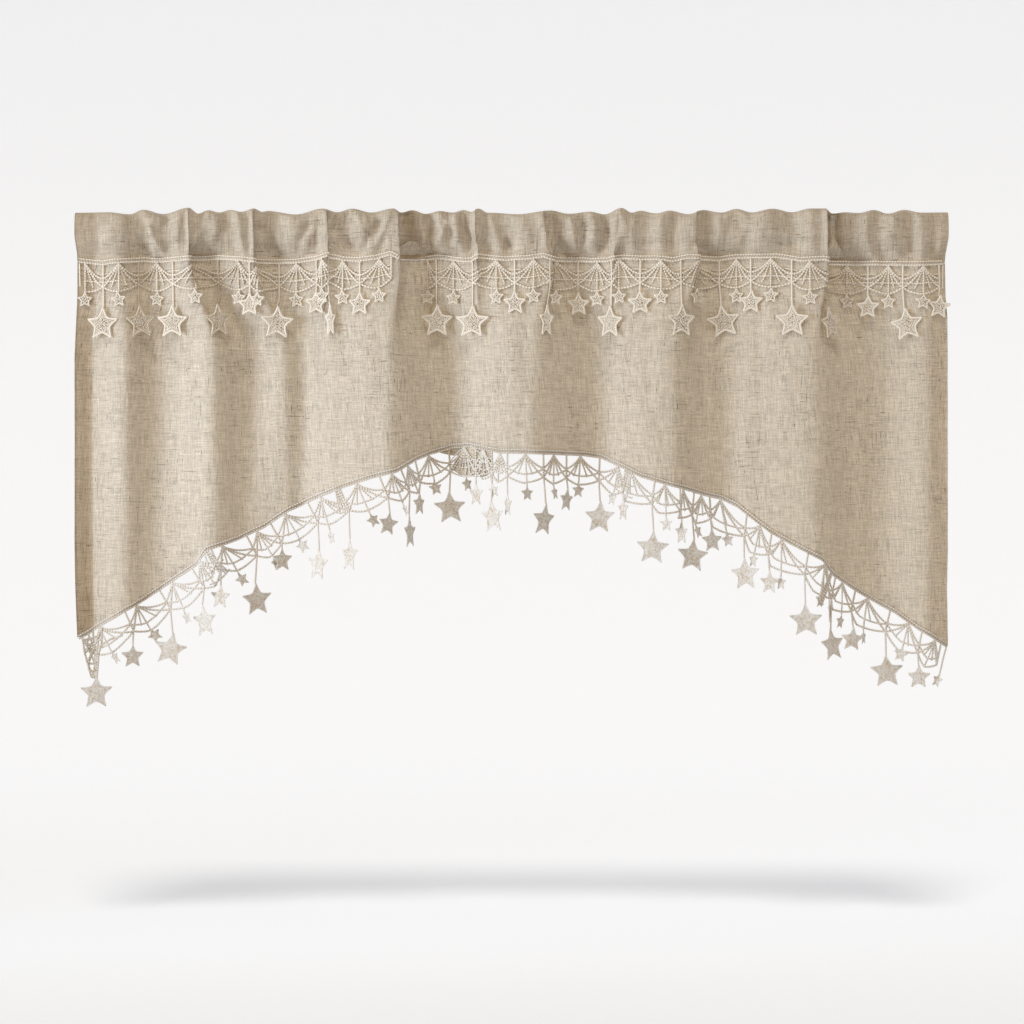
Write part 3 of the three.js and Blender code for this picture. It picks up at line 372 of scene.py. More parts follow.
# The braid along the top of each lace, its upper cord, lower cord and the chain between them:
# height of the middle, how far the beads are shifted, thread.
BRAID = [
    (-5.0, 0.0, Thread(1.0, 0.85, 0.36, 0.25, 3.5)), (-0.8, 0.6, Thread(1.05, 0.85, 0.36, 0.25, 3.5)),
    (-2.9, 1.2, Thread(1.3, 0.4, 0.2, -0.35, 3.5)),
]
BRAID_STEP = 1.2


# Small tools
def smooth(share):
    held = np.clip(share, 0, 1)
    return held * held * (3 - 2 * held)


def half_wave(share):
    return (1 - np.cos(np.pi * share)) / 2


def lerp(a, b, share):
    return a + (b - a) * share


def table(rows, x, column=1):
    grid = np.array([[row[0], row[column]] for row in rows], float)
    return np.interp(x, grid[:, 0], grid[:, 1])


def soft_table(rows, x):
    """Half waves between the rows, so that each row is a crest, a dip or a rest."""
    grid = np.array(rows, float)
    i = np.clip(np.searchsorted(grid[:, 0], x) - 1, 0, len(grid) - 2)
    share = np.clip((x - grid[i, 0]) / (grid[i + 1, 0] - grid[i, 0]), 0, 1)
    return lerp(grid[i, 1], grid[i + 1, 1], half_wave(share))


def waves(seed, x, level, across, along):
    """Smooth unevenness from -1 to 1, with the given sizes across and along the cloth."""
    count = 9
    rng = np.random.default_rng(seed)
    total = np.zeros(np.broadcast(x, level).shape)
    for _ in range(count):
        kx = rng.normal() * 2 * math.pi / across
        kl = rng.normal() * 2 * math.pi / along
        total = total + np.sin(kx * x + kl * level + rng.uniform(0, 2 * math.pi))
    return total / math.sqrt(count / 2) / 2


def lengths_along(steps):
    """Running length from the length of each step."""
    return np.concatenate([[0], np.cumsum(steps)])


# The cloth
def even_slope(share):
    """Rises evenly, with soft ends."""
    soft = 0.16
    low, high = np.minimum(share, soft), np.maximum(share - 1 + soft, 0)
    return (low**2 / (2 * soft) + np.maximum(share - soft, 0) - high**2 / (2 * soft)) / (1 - soft)


def profile(x, xs, ys, laps, over, bends=None, evens=None):
    """Depth and sideways shift at x between knots, shaped (knots, points). A lap turns the cloth
    back under the knot on its left, over millimetres past its own half width. bends and evens
    shape the way from each knot to the next."""
    i = np.clip((xs <= x).sum(0) - 1, 0, xs.shape[0] - 2)
    at = np.arange(x.shape[0])
    x0, x1 = xs[i, at], xs[i + 1, at]
    share = np.clip((x - x0) / np.maximum(x1 - x0, 1e-6), 0, 1)
    if bends is None:
        turned = half_wave(share)
    else:
        bent = share ** np.array(bends)[i]
        turned = lerp(half_wave(bent), even_slope(bent), np.array(evens)[i])
    depth = lerp(ys[i, at], ys[i + 1, at], turned)
    shift = -laps[i, at] * ((x1 - x0) / 2 + over) * np.sin(np.pi * share) ** 2
    return depth, shift


RISE_BENDS = [1.0] + [value for f in FOLDS for value in (f["rise"], 1.0)]
RISE_EVENS = [0.0] + [value for f in FOLDS for value in (f["broad"], 0.0)]


def panel_knots(level):
    """The crests and valleys of the panel at each level: places, depths and laps."""
    below = level - POCKET_HEIGHT
    settled = smooth(below / FOLD_SETTLE)
    at_hem = smooth((level - HEM_SETTLE_FROM) / HEM_SETTLE)
    stand = lerp(*LEFT_HEM_STAND, settled)
    still = np.zeros_like(level)
    xs = [np.full_like(level, -HALF_WIDTH - EDGE_SPARE), np.full_like(level, LEFT_HEM_LINE)]
    ys = [-stand, LEFT_HEM_BACK * stand]
    laps = [still, still]
    for f in FOLDS:
        for knot, away, sign in (("crest", "front", -1), ("valley", "back", 1)):
            xs.append(lerp(f[knot], f["low_" + knot], settled))
            ys.append(sign * lerp(lerp(f[away], f["low_" + away], settled), f["hem_" + away], at_hem))
        laps += [f["lap"] * (1 - smooth(below / f["fade"])), still]
    xs[-1] = np.full_like(level, HALF_WIDTH + EDGE_SPARE)
    return np.array(xs), np.array(ys), np.array(laps)


def pleat_part(x, level):
    rise, shift = np.zeros_like(x), np.zeros_like(x)
    for p in PLEATS:
        left = 1 - smooth((level - POCKET_HEIGHT) / p["reach"])
        foot = np.where(x < p["crest"], p["left"], p["right"])
        near = np.clip(1 - np.abs(x - p["crest"]) / foot, 0, 1)
        rise += p["rise"] * half_wave(near) * left
        behind = np.clip((x - p["crest"]) / p["right"], 0, 1)
        shift -= p["lap"] * left * (p["right"] / 2 + PLEAT_LAP) * np.sin(np.pi * behind) ** 2
    return rise, shift


def crease_part(x, level):
    total = np.zeros_like(x)
    for c in CREASES:
        dx, dl = c["x1"] - c["x0"], c["l1"] - c["l0"]
        along = ((x - c["x0"]) * dx + (level - c["l0"]) * dl) / (dx * dx + dl * dl)
        held = np.clip(along, 0, 1)
        away = np.hypot(x - c["x0"] - held * dx, level - c["l0"] - held * dl) / c["half"]
        total += c["depth"] * np.exp(-away**2) * np.sin(np.pi * held) ** 0.5
    return total


def gather_knots(share):
    """The gathers of the heading at a share of its height, as knots for profile."""
    grid = np.array(GATHERS, float)[:, :, None]
    upper = np.clip(share * 2, 0, 1) * np.ones_like(grid[:, 0])
    xs = lerp(lerp(grid[:, 0], grid[:, 1], upper), grid[:, 2], np.clip(share * 2 - 1, 0, 1))
    return xs, -grid[:, 3] * np.ones_like(share), grid[:, 4] * np.ones_like(share)


def panel_shape(x, level):
    """Depth and shift of the cloth below the seam. Broad folds, laps, pleats and small creases."""
    depth, shift = profile(x, *panel_knots(level), PANEL_LAP, RISE_BENDS, RISE_EVENS)
    rise, pleat_shift = pleat_part(x, level)
    below = np.maximum(level - POCKET_HEIGHT, 0)
    gathers, _ = profile(x, *gather_knots(np.ones_like(x)), 0.0)
    ripple = (gathers + RIPPLE_MEAN) * RIPPLE_SHARE * np.exp(-below / RIPPLE_DROP)
    uneven = sum(height * waves(seed, x, level, across, along) * smooth(below / start)
                 for seed, across, along, height, start in PANEL_WAVES)
    return depth - rise + ripple + uneven - crease_part(x, level), shift + pleat_shift


def drop(x, level):
    """How far the cloth hangs under its level: the seam's own line and the uneven top edge."""
    seam = table(SEAM_LINE, x) * smooth(level / POCKET_HEIGHT)
    return -soft_table(TOP_EDGE, x) * (1 - smooth(level / TOP_EDGE_FADE)) + seam * (
        1 - smooth((level - POCKET_HEIGHT) / SEAM_FADE))


def side_pull(x, level):
    """Draws the side edges in."""
    near = smooth((np.abs(x) - HALF_WIDTH + SIDE_BAND) / SIDE_BAND)
    return np.where(x < 0, table(SIDE_EDGES, level, 1), -table(SIDE_EDGES, level, 2)) * near


def panel_surface(x, level, off=0.0):
    """Points of the panel, off millimetres in front of its middle, as an array (n, 3)."""
    step = 0.4
    x, level = np.broadcast_arrays(np.asarray(x, float), np.asarray(level, float))
    x, level = x.ravel(), level.ravel()
    y, shift = panel_shape(x, level)
    y0, shift0 = panel_shape(x - step, level)
    y1, shift1 = panel_shape(x + step, level)
    tx, ty = 2 * step + shift1 - shift0, y1 - y0
    length = np.maximum(np.hypot(tx, ty), 1e-6)
    px = x + shift + side_pull(x, level)
    return np.stack([px + ty / length * off, y - tx / length * off, -level - drop(x, level)], 1)


def edge_level(x):
    return table(LOWER_EDGE, x)


# Collecting meshes
class Form:
    """Collects closed parts into one mesh, with a shade for each point, which carries layers of cloth and
    painted shade, and cloth coordinates.
    """

    def __init__(self):
        self.points, self.faces, self.shade, self.cloth, self.count = [], [], [], [], 0

    def add(self, points, faces, shade=0.0, cloth=None):
        points = np.asarray(points, float)
        for group in faces if isinstance(faces, tuple) else (faces,):
            self.faces.extend((np.asarray(group, int) + self.count).tolist())
        self.points.append(points)
        self.shade.append(np.broadcast_to(np.asarray(shade, float), (len(points),)))
        self.cloth.append(points[:, [0, 2, 1]] if cloth is None else cloth)
        self.count += len(points)

    def sheet(self, front, back, shade=0.0, cloth=None):
        """A closed sheet, from the rows of points of its front and of its back."""
        rows, columns = len(front), len(front[0])
        faces = (
            grid_faces(rows, columns, 0), grid_faces(rows, columns, rows * columns, True),
            sheet_rim(rows, columns),
        )
        self.add(np.concatenate(front + back), faces, shade, cloth)

    def make(self, name, material):
        mesh = bpy.data.meshes.new(name)
        mesh.from_pydata((np.concatenate(self.points) * MM).tolist(), [], self.faces)
        shade = mesh.attributes.new("shade", "FLOAT", "POINT")
        shade.data.foreach_set("value", np.concatenate(self.shade).astype(np.float32))
        cloth = mesh.attributes.new("cloth", "FLOAT_VECTOR", "POINT")
        cloth.data.foreach_set("vector", (np.concatenate(self.cloth) * MM).astype(np.float32).ravel())
        mesh.polygons.foreach_set("use_smooth", np.ones(len(mesh.polygons), bool))
        mesh.materials.append(material)
        mesh.update()
        return add_object(name, mesh)


def add_object(name, data):
    obj = bpy.data.objects.new(name, data)
    bpy.context.scene.collection.objects.link(obj)
    return obj


def grid_faces(rows, columns, first, flip=False):
    i, j = np.meshgrid(np.arange(rows - 1), np.arange(columns - 1), indexing="ij")
    a = (first + i * columns + j).ravel()
    quads = np.stack([a, a + columns, a + columns + 1, a + 1], 1)
    return quads[:, ::-1] if flip else quads


def ring_faces(first, second, closed=False):
    """Quads between two lines of point numbers."""
    first, second = np.asarray(first), np.asarray(second)
    quads = np.stack([first, second, np.roll(second, -1), np.roll(first, -1)], 1)
    return quads if closed else quads[:-1]


def sheet_rim(rows, columns):
    last = (rows - 1) * columns
    rim = list(range(columns)) + [i * columns + columns - 1 for i in range(1, rows)]
    rim += [last + j for j in range(columns - 2, -1, -1)] + [i * columns for i in range(rows - 2, 0, -1)]
    return ring_faces(rim, [i + rows * columns for i in rim], True)


# Linen panel
PANEL_TOP = POCKET_HEIGHT + 0.6
# Rows of points, a little closer together at the top, and the widest step between columns.
PANEL_ROWS = 106
ROW_CROWDING = 1.1
COLUMN_STEP = 3.9
# The turned side hems: how softly they start, and how much thicker they make the front and back.
HEM_SOFT, HEM_FRONT, HEM_BACK = 1.5, 0.35, 0.7
# Painted shade: the left hem is darkened as doubled cloth against the light, and more so further down, where
# it turns from the light.
LEFT_HEM_PAINTED_SHADE = (1.12, 0.3)


def panel_columns():
    """Places across the cloth as knot numbers, close together on the steep sides of the folds."""
    levels = (POCKET_HEIGHT, POCKET_HEIGHT + FOLD_SETTLE)
    at_seam, low = (panel_knots(np.array([level]))[0][:, 0] for level in levels)
    places = []
    for k, widest in enumerate(np.maximum(np.diff(at_seam), np.diff(low))):
        parts = int(math.ceil(widest / COLUMN_STEP))
        places.extend(k + np.arange(parts) / parts)
    return np.array(places + [len(at_seam) - 1.0])


def x_at_place(places, level):
    xs = panel_knots(level)[0]
    i = np.clip(places.astype(int), 0, xs.shape[0] - 2)
    at = np.arange(len(places))
    x = lerp(xs[i, at], xs[i + 1, at], places - i)
    return x * HALF_WIDTH / (HALF_WIDTH + EDGE_SPARE)


def side_hem(x):
    """1 on the side hems and 0 between them."""
    return smooth((HEM_WIDTH - (HALF_WIDTH - np.abs(x))) / HEM_SOFT)


def linen_panel(material):
    places = panel_columns()
    front, back, cloth, shade = [], [], [], []
    for share in np.linspace(0, 1, PANEL_ROWS) ** ROW_CROWDING:
        level = np.full(len(places), PANEL_TOP)
        for _ in range(4):
            x = x_at_place(places, level)
            level = lerp(PANEL_TOP, edge_level(x), share)
        hem = side_hem(x)
        front.append(panel_surface(x, level, LINEN_HALF + HEM_FRONT * hem))
        back.append(panel_surface(x, level, -LINEN_HALF - HEM_BACK * hem))
        arc = lengths_along(np.hypot(np.diff(front[-1][:, 0]), np.diff(front[-1][:, 1])))
        cloth.append(np.stack([arc - arc[-1] / 2, level, hem], 1))
        # Painted shade: the hems get the tint of doubled cloth, and the left hem a darker one that grows
        # further down.
        shade.append(hem * np.where(x < 0, LEFT_HEM_PAINTED_SHADE[0] + LEFT_HEM_PAINTED_SHADE[1] * share, 1.0))
    form = Form()
    form.sheet(front, back, np.concatenate(shade + shade), np.concatenate(cloth + cloth))
    crown_tuck(form)
    return form.make("linen_panel_cloth", material)


def crown_tuck(form):
    """The folded-under cloth that shows below the crown of the arch."""
    rows, columns, thickness = 9, 24, 1.0
    for out, tuck in TUCKS:
        x = np.linspace(tuck[0][0], tuck[-1][0], columns)
        levels = [lerp(table(tuck, x, 1), table(tuck, x, 2), share) for share in np.linspace(0, 1, rows)]
        form.sheet(*([panel_surface(x, level, off) for level in levels] for off in (out, out - thickness)))


# Rod pocket
# Half the depth of the hollow at its widest, and the thickness of its wall.
POCKET_DEPTH = 9.5
POCKET_WALL = 0.9
# The pocket is round at its top, closes below a level and takes the shape of the seam further
# down. The gathers end there, and start softly at the top.
POCKET_ROUND = 15.0
POCKET_CLOSES_FROM, POCKET_CLOSES = 26.0, 25.0
SEAM_HOLDS_FROM, SEAM_HOLDS = 34.0, 18.0
GATHERS_END_FROM, GATHERS_END = 40.0, 14.0
TOP_SOFT = 5.0
# The folds of the panel reach up to the top of the pocket with this share of their depth.
TOP_FOLD_SHARE = 0.25
# The gathers at the back of the pocket have this share of their depth.
BACK_GATHER_SHARE = 0.4
# The gathers have this share of their depth up to a place, and all of it past a fade.
FLAT_GATHERS, FLAT_GATHERS_TO, FLAT_GATHERS_FADE = 0.6, 290.0, 40.0
POCKET_COLUMNS, POCKET_RINGS = 480, 30
# The rings lie closer together at the top. LAP_WIDTH and LAP_POINTS: extra points at each lap.
RING_CROWDING = 1.4
LAP_WIDTH, LAP_POINTS = 10, 7
# The levels of the hollow inside, and where the foot of the pocket is thicker by how much.
INNER_LEVELS = (1.4, 50.0)
FOOT_FROM, FOOT_EXTRA = 52.0, 0.4
# Painted shade over the 1 of doubled cloth: on the side hems, and in the dips between the gathers where
# shade falls, by the depth over which they darken.
HEM_PAINTED_SHADE, DIP_PAINTED_SHADE, DIP_DEPTH = 0.2, 0.7, 20.0
# The weave of the pocket is read from another place than the panel's.
POCKET_WEAVE_SHIFT = -300


def pocket_half_depth(level):
    top = np.sqrt(np.clip(1 - (1 - np.clip(level / POCKET_ROUND, 0, 1)) ** 2, 0, 1))
    return POCKET_DEPTH * top * (1 - smooth((level - POCKET_CLOSES_FROM) / POCKET_CLOSES))


def slants(x, level):
    """How far the slanting folds move the face of the pocket back, or forward where under 0."""
    move = np.zeros_like(x)
    for points, push, width in SLANTS:
        line = np.array(points, float)
        at = np.interp(level, line[:, 1], line[:, 0])
        held = smooth((level - line[0, 1] + SLANT_START) / SLANT_SOFT) * smooth(
            (line[-1, 1] + SLANT_END - level) / SLANT_SOFT)
        move += push * held * np.exp(-((x - at) / width) ** 2)
    return move


def pocket_wall(x, level, side, wall):
    """Points of the front, side -1, or back, side 1, of the pocket, wall millimetres outside."""
    gathers, gather_shift = profile(x, *gather_knots(level / POCKET_HEIGHT), POCKET_LAP)
    base, shift = panel_shape(x, np.full_like(x, POCKET_HEIGHT))
    hold = smooth((level - SEAM_HOLDS_FROM) / SEAM_HOLDS)
    free = (1 - smooth((level - GATHERS_END_FROM) / GATHERS_END)) * np.clip(level / TOP_SOFT, 0, 1) ** 0.5
    uneven = free * sum(height * waves(seed, x, level, across, along)
                        for seed, across, along, height in POCKET_WAVES)
    gathers = gathers * lerp(FLAT_GATHERS, 1.0, smooth((x - FLAT_GATHERS_TO) / FLAT_GATHERS_FADE))
    half = pocket_half_depth(level)
    folds = base * lerp(TOP_FOLD_SHARE, 1.0, hold)
    if side < 0:
        y = folds + (gathers + slants(x, level)) * free + uneven - half - wall
        dx = lerp(gather_shift * free, shift, hold)
    else:
        y = folds + half + wall - gathers * BACK_GATHER_SHARE * free + uneven
        dx = shift * hold
    return np.stack([x + dx + side_pull(x, level), y, -level - drop(x, level)], 1)


def rod_pocket(material):
    # Points across, with more of them at the laps.
    x = np.unique(np.concatenate([
        np.linspace(-HALF_WIDTH, HALF_WIDTH, POCKET_COLUMNS),
        *[np.linspace(g[k], g[k] + LAP_WIDTH, LAP_POINTS) for g in GATHERS for k in range(3) if g[4]],
    ]))
    steps = np.linspace(0, 1, POCKET_RINGS) ** RING_CROWDING
    walls = []
    for levels, wall in ((POCKET_HEIGHT * steps, POCKET_WALL), (lerp(*INNER_LEVELS, steps), 0.0)):
        lines = [(level, -1) for level in levels[::-1]] + [(level, 1) for level in levels]
        walls.append(np.stack([
            pocket_wall(x, np.full_like(x, level), side, wall + (FOOT_EXTRA if level > FOOT_FROM else 0))
            for level, side in lines
        ]))
    outer, inner = walls
    n, ring = len(x), len(outer)
    middle = (ring - 1) / 2
    # Cloth coordinates and painted shades, line by line from the foot of the front over the top.
    front, back = outer[ring // 2, :, 0], outer[ring // 2 - 8, :, 1]
    arc = lengths_along(np.hypot(np.diff(front), np.diff(back)))
    hem = side_hem(x)
    cloth, shade = [], []
    for k in range(ring):
        down = abs(k - middle) / middle
        up = np.full(n, down * POCKET_HEIGHT + POCKET_WEAVE_SHIFT)
        cloth.append(np.stack([arc - arc[-1] / 2, up, np.ones(n)], 1))
        # Painted shade in the dips between the gathers, on the front of the pocket only.
        dips = profile(x, *gather_knots(np.full_like(x, down)), 0.0)[0]
        dip_shade_share = smooth((dips + 1.0) / DIP_DEPTH)
        shade.append(1.0 + HEM_PAINTED_SHADE * hem + DIP_PAINTED_SHADE * dip_shade_share * (k < middle))
    faces = [grid_faces(ring, n, 0, True), grid_faces(ring, n, ring * n)]
    left = np.arange(ring) * n
    right = left + n - 1
    top = np.arange(n)
    foot = top + (ring - 1) * n
    faces += [ring_faces(left, left + ring * n), ring_faces(right + ring * n, right)]
    faces += [ring_faces(top, foot), ring_faces(foot + ring * n, top + ring * n)]
    form = Form()
    form.add(np.concatenate([outer.reshape(-1, 3), inner.reshape(-1, 3)]), tuple(faces),
             np.concatenate(shade + shade), np.concatenate(cloth + cloth))
    return form.make("rod_pocket_cloth", material)


# Lace
# Threads whose beads swell more than this get a painted highlight on the beads and painted shade in the
# hollows between them.
BEAD_PAINTED_FROM, BEAD_HIGHLIGHT = 0.25, 0.35
# The length of the parts of a sagging thread, and the width over which a thread has five sides.
SPAN_STEP, WIDE_THREAD = 2.5, 0.7


def strand(form, points, normals, thread, shade, sides=6, closed=False):
    """A beaded thread: a tube along the points, wider across than deep, closed at its ends."""
    width, depth, bead, _, pitch = thread
    points = np.asarray(points, float)
    normals = np.broadcast_to(np.asarray(normals, float), points.shape)
    if closed:
        points, normals = np.vstack([points, points[:1]]), np.vstack([normals, normals[:1]])
    lengths = lengths_along(np.linalg.norm(np.diff(points, axis=0), axis=1))
    step = pitch / 4 if bead else PLAIN_PITCH
    at = np.linspace(0, lengths[-1], max(int(round(lengths[-1] / step)), 2) + 1)
    line, normal = (
        np.stack([np.interp(at, lengths, rows[:, k]) for k in range(3)], 1) for rows in (points, normals)
    )
    if closed:
        line, normal, at = line[:-1], normal[:-1], at[:-1]
        tangent = np.roll(line, -1, 0) - np.roll(line, 1, 0)
    else:
        tangent = np.gradient(line, axis=0)
    tangent = unit_rows(tangent)
    side = unit_rows(np.cross(tangent, normal))
    normal = np.cross(side, tangent)
    swell = 1 + bead * np.cos(2 * math.pi * at / pitch)
    angles = np.arange(sides) * 2 * math.pi / sides
    across = np.cos(angles)[None, :, None] * (width * swell)[:, None, None]
    outward = np.sin(angles)[None, :, None] * (depth * swell)[:, None, None]
    ring = line[:, None, :] + side[:, None, :] * across + normal[:, None, :] * outward
    n = len(line)
    i, k = np.meshgrid(np.arange(n if closed else n - 1), np.arange(sides), indexing="ij")
    i, k = i.ravel(), k.ravel()
    j, m = (i + 1) % n, (k + 1) % sides
    faces = [np.stack([i * sides + k, i * sides + m, j * sides + m, j * sides + k], 1)]
    if not closed:
        faces += [np.arange(sides)[None, ::-1], (n - 1) * sides + np.arange(sides)[None, :]]
    # Painted highlight on the beads and painted shade in the hollows between them.
    tone = shade
    if bead > BEAD_PAINTED_FROM:
        tone = np.repeat(shade - BEAD_HIGHLIGHT + (1 + bead - swell) / (2 * bead), sides)
    form.add(ring.reshape(-1, 3), tuple(faces), tone)


def unit_rows(rows):
    return rows / np.maximum(np.linalg.norm(rows, axis=1, keepdims=True), 1e-9)


class Net:
    """Collects the threads of one lace and lays them on the cloth with lift(x, level, off)."""

    def __init__(self, form, lift):
        self.form, self.lift, self.queue = form, lift, []

    def line(self, knots, thread, shade, sag=0.0):
        """A thread through knots (x, level), sagging by a share of each span."""
        path = []
        for (x0, l0), (x1, l1) in zip(knots[:-1], knots[1:]):
            span = math.hypot(x1 - x0, l1 - l0)
            t = np.linspace(0, 1, max(int(span / SPAN_STEP), 2) + 1)
            bow = 4 * sag * span * t * (1 - t)
            path.append(np.stack([lerp(x0, x1, t), lerp(l0, l1, t) + bow], 1))
        self.path(np.concatenate(path), thread, shade)

    def path(self, path, thread, shade):
        self.queue.append((np.asarray(path, float), thread, shade))

    def lay(self):
        """Lifts all the threads onto the cloth at once and makes them."""
        flat = np.concatenate([path for path, _, _ in self.queue])
        offs = np.concatenate([np.full(len(path), thread.off) for path, thread, _ in self.queue])
        points, normals = self.lift(flat[:, 0], flat[:, 1], offs)
        start = 0
        for path, thread, shade in self.queue:
            stop = start + len(path)
            sides = 5 if thread.width > WIDE_THREAD else 4
            strand(self.form, points[start:stop], normals[start:stop], thread, shade, sides)
            start = stop


def lift(x, level, rest):
    """Points rest millimetres in front of the middle of the panel, and the directions out of it."""
    middle = panel_surface(x, level)
    normal = panel_surface(x, level, 1.0) - middle
    return middle + normal * np.broadcast_to(rest, middle.shape[:1])[:, None], normal


def down_rib(point, rib, reach):
    """The point reach millimetres down a rib from another."""
    return (point[0] + rib[0] * reach, point[1] + rib[1] * reach)


def beads(form, points, size, shade):
    """Small eight-sided knots."""
    corners = [[1, 0, 0], [0, 0, 1], [-1, 0, 0], [0, 0, -1], [0, -0.75, 0], [0, 0.75, 0]]
    all_points = (points[:, None, :] + (np.array(corners, float) * size)[None]).reshape(-1, 3)
    belt = ((0, 1), (1, 2), (2, 3), (3, 0))
    one = np.array([(a, b, 4) for a, b in belt] + [(b, a, 5) for a, b in belt])
    faces = (one[None] + 6 * np.arange(len(points))[:, None, None]).reshape(-1, 3)
    form.add(all_points, faces, np.repeat(np.broadcast_to(shade, (len(points),)), 6))


# Of a star: its notches by its radius, how hollow its sides are, and the star within it.
STAR_NOTCH, STAR_HOLLOW, INNER_SHARE = 0.49, 0.06, 0.52
# How far the fill stays within the cord at the points and in the notches, in insets.
POINT_INSET, NOTCH_INSET = 2.2, 0.9
FILL_INSET = 1.2
# The cord: its radius on small stars and on those over a radius, and the share left on solid ones.
THIN_CORD, THICK_CORD, THICK_FROM, SOLID_CORD = 1.0, 1.3, 12.0, 0.7
# Over the plane of the star: its cord, the star within it, and the knots of a solid and a net one.
CORD_OFF, INNER_OFF, KNOT_OFF, NET_KNOT_OFF = 0.15, 0.5, 0.35, 0.3
# The knots of a solid and of a net star: how far apart, how uneven, the share kept, their size.
FILL_KNOTS = dict(across=2.6, up=2.6 * 0.9, jitter=0.35, share=0.85)
NET_KNOTS = dict(across=2.5, up=1.8, jitter=0.6, share=0.8)
KNOT_SIZE, NET_KNOT_SIZE = 1.15, 1.2
# Those of a solid star keep within a share of its rim, and each is lighter or darker by chance.
KNOT_RIM, KNOT_MOTTLE = 0.94, 0.65
# The plate of a solid star: half its thickness, and how far its face rises inward and at its middle.
PLATE_HALF, PLATE_INNER, PLATE_RISE, PLATE_MIDDLE = 0.35, 0.9, 0.15, 0.2
# The net of the others: the step and slant of its threads, and the step along them.
NET_STEP, NET_SLANT, NET_ALONG = 2.9, 35, 0.7
NET_THREAD = Thread(0.5, 0.4, 0.0, 0.0, PLAIN_PITCH)


def star_outline(radius, inset=0.0):
    """Corner points of a five-pointed star with slightly hollow sides, its first point on top."""
    points = []
    for i in range(10):
        outer = i % 2 == 0
        r = radius * (1 if outer else STAR_NOTCH) - inset * (POINT_INSET if outer else NOTCH_INSET)
        angle = math.pi * i / 5
        points.append((r * math.sin(angle), r * math.cos(angle)))
    line = []
    for (x0, z0), (x1, z1) in zip(points, points[1:] + points[:1]):
        for t in (0, 0.33, 0.67):
            pull = 1 - STAR_HOLLOW * math.sin(math.pi * t)
            line.append((lerp(x0, x1, t) * pull, lerp(z0, z1, t) * pull))
    return np.array(line)


def inside(outline, x, z):
    """Which points lie within a closed outline."""
    within = np.zeros(x.shape, bool)
    for (x0, z0), (x1, z1) in zip(outline, np.roll(outline, -1, 0)):
        crosses = (z0 > z) != (z1 > z)
        at = x0 + (z - z0) / (z1 - z0 if z1 != z0 else 1e-9) * (x1 - x0)
        within ^= crosses & (x < at)
    return within


def star(form, centre, up, radius, shade, rng,
         turn=0.0, facing=(0, -1.0, 0), solid=False, inner=False, width=1.0):
    """A star in its own plane. up is the direction of its top point and turn its turn about that."""
    up = np.asarray(up, float) / np.linalg.norm(up)
    side = np.cross(np.asarray(facing, float), up)
    side /= np.linalg.norm(side)
    face = np.cross(up, side)
    c, s = math.cos(turn), math.sin(turn)
    side, face = side * c + face * s, face * c - side * s
    cup = rng.uniform(-0.5, 0.9)
    skew = rng.uniform(-0.05, 0.05)
    stretch = rng.uniform(0.96, 1.05) * width

    def place(flat, off):
        """Puts flat points on the star, off millimetres over its slightly cupped plane."""
        x = flat[:, 0] * stretch + flat[:, 1] * skew
        bend = cup * (flat[:, 0] / radius) ** 2 * radius * 0.12
        return centre + x[:, None] * side + flat[:, 1:2] * up + (off - bend)[:, None] * face

    cord = (THICK_CORD if radius > THICK_FROM else THIN_CORD) * (SOLID_CORD if solid else 1)
    edge = Thread(cord, cord * 0.8, 0.14, 0.0, 2.4)
    strand(form, place(star_outline(radius - cord), CORD_OFF), face, edge, shade - 0.15, closed=True)
    inlay = fill if solid else netting
    inlay(form, place, star_outline(radius, FILL_INSET), radius, shade, rng)
    if inner:
        small = place(star_outline(radius * INNER_SHARE), INNER_OFF)
        strand(form, small, face, Thread(0.55, 0.5, 0.1, 0.0, 1.8), shade, 5, True)


def scatter(rim, reach, rng, across, up, jitter, share):
    """Uneven points of a brick pattern within the rim, of which a share is kept at random."""
    i, j = np.meshgrid(np.arange(-reach, reach + 1), np.arange(-reach, reach + 1))
    x = (i + (j % 2) * 0.5).ravel() * across + rng.uniform(-jitter, jitter, i.size)
    z = j.ravel() * up + rng.uniform(-jitter, jitter, i.size)
    keep = inside(rim, x, z) & (rng.random(x.size) < share)
    return np.stack([x[keep], z[keep]], 1)


def fill(form, place, rim, radius, shade, rng):
    """A thin woven plate within the cord, with raised knots on its face."""
    n = len(rim)
    flat = np.vstack([rim, rim * PLATE_INNER, [[0, 0]]])
    height = np.concatenate([np.zeros(n), np.full(n, PLATE_RISE), [PLATE_MIDDLE]])
    m = len(flat)
    i = np.arange(n)
    j, hub = np.roll(i, -1), np.full(n, 2 * n)
    quads = np.concatenate([
        np.stack([i, n + i, n + j, j], 1),
        np.stack([m + j, m + n + j, m + n + i, m + i], 1),
        np.stack([i, j, m + j, m + i], 1),
    ])
    hubs = np.concatenate([np.stack([n + i, hub, n + j], 1), np.stack([m + n + j, m + hub, m + n + i], 1)])
    faces = place(flat, height + PLATE_HALF), place(flat, height - PLATE_HALF)
    form.add(np.vstack(faces), (quads, hubs), shade)
    reach = int(radius / FILL_KNOTS["across"]) + 1
    knots = scatter(rim * KNOT_RIM, reach, rng, **FILL_KNOTS)
    mottle = rng.uniform(-KNOT_MOTTLE, KNOT_MOTTLE, len(knots))
    beads(form, place(knots, KNOT_OFF), KNOT_SIZE, shade + mottle)


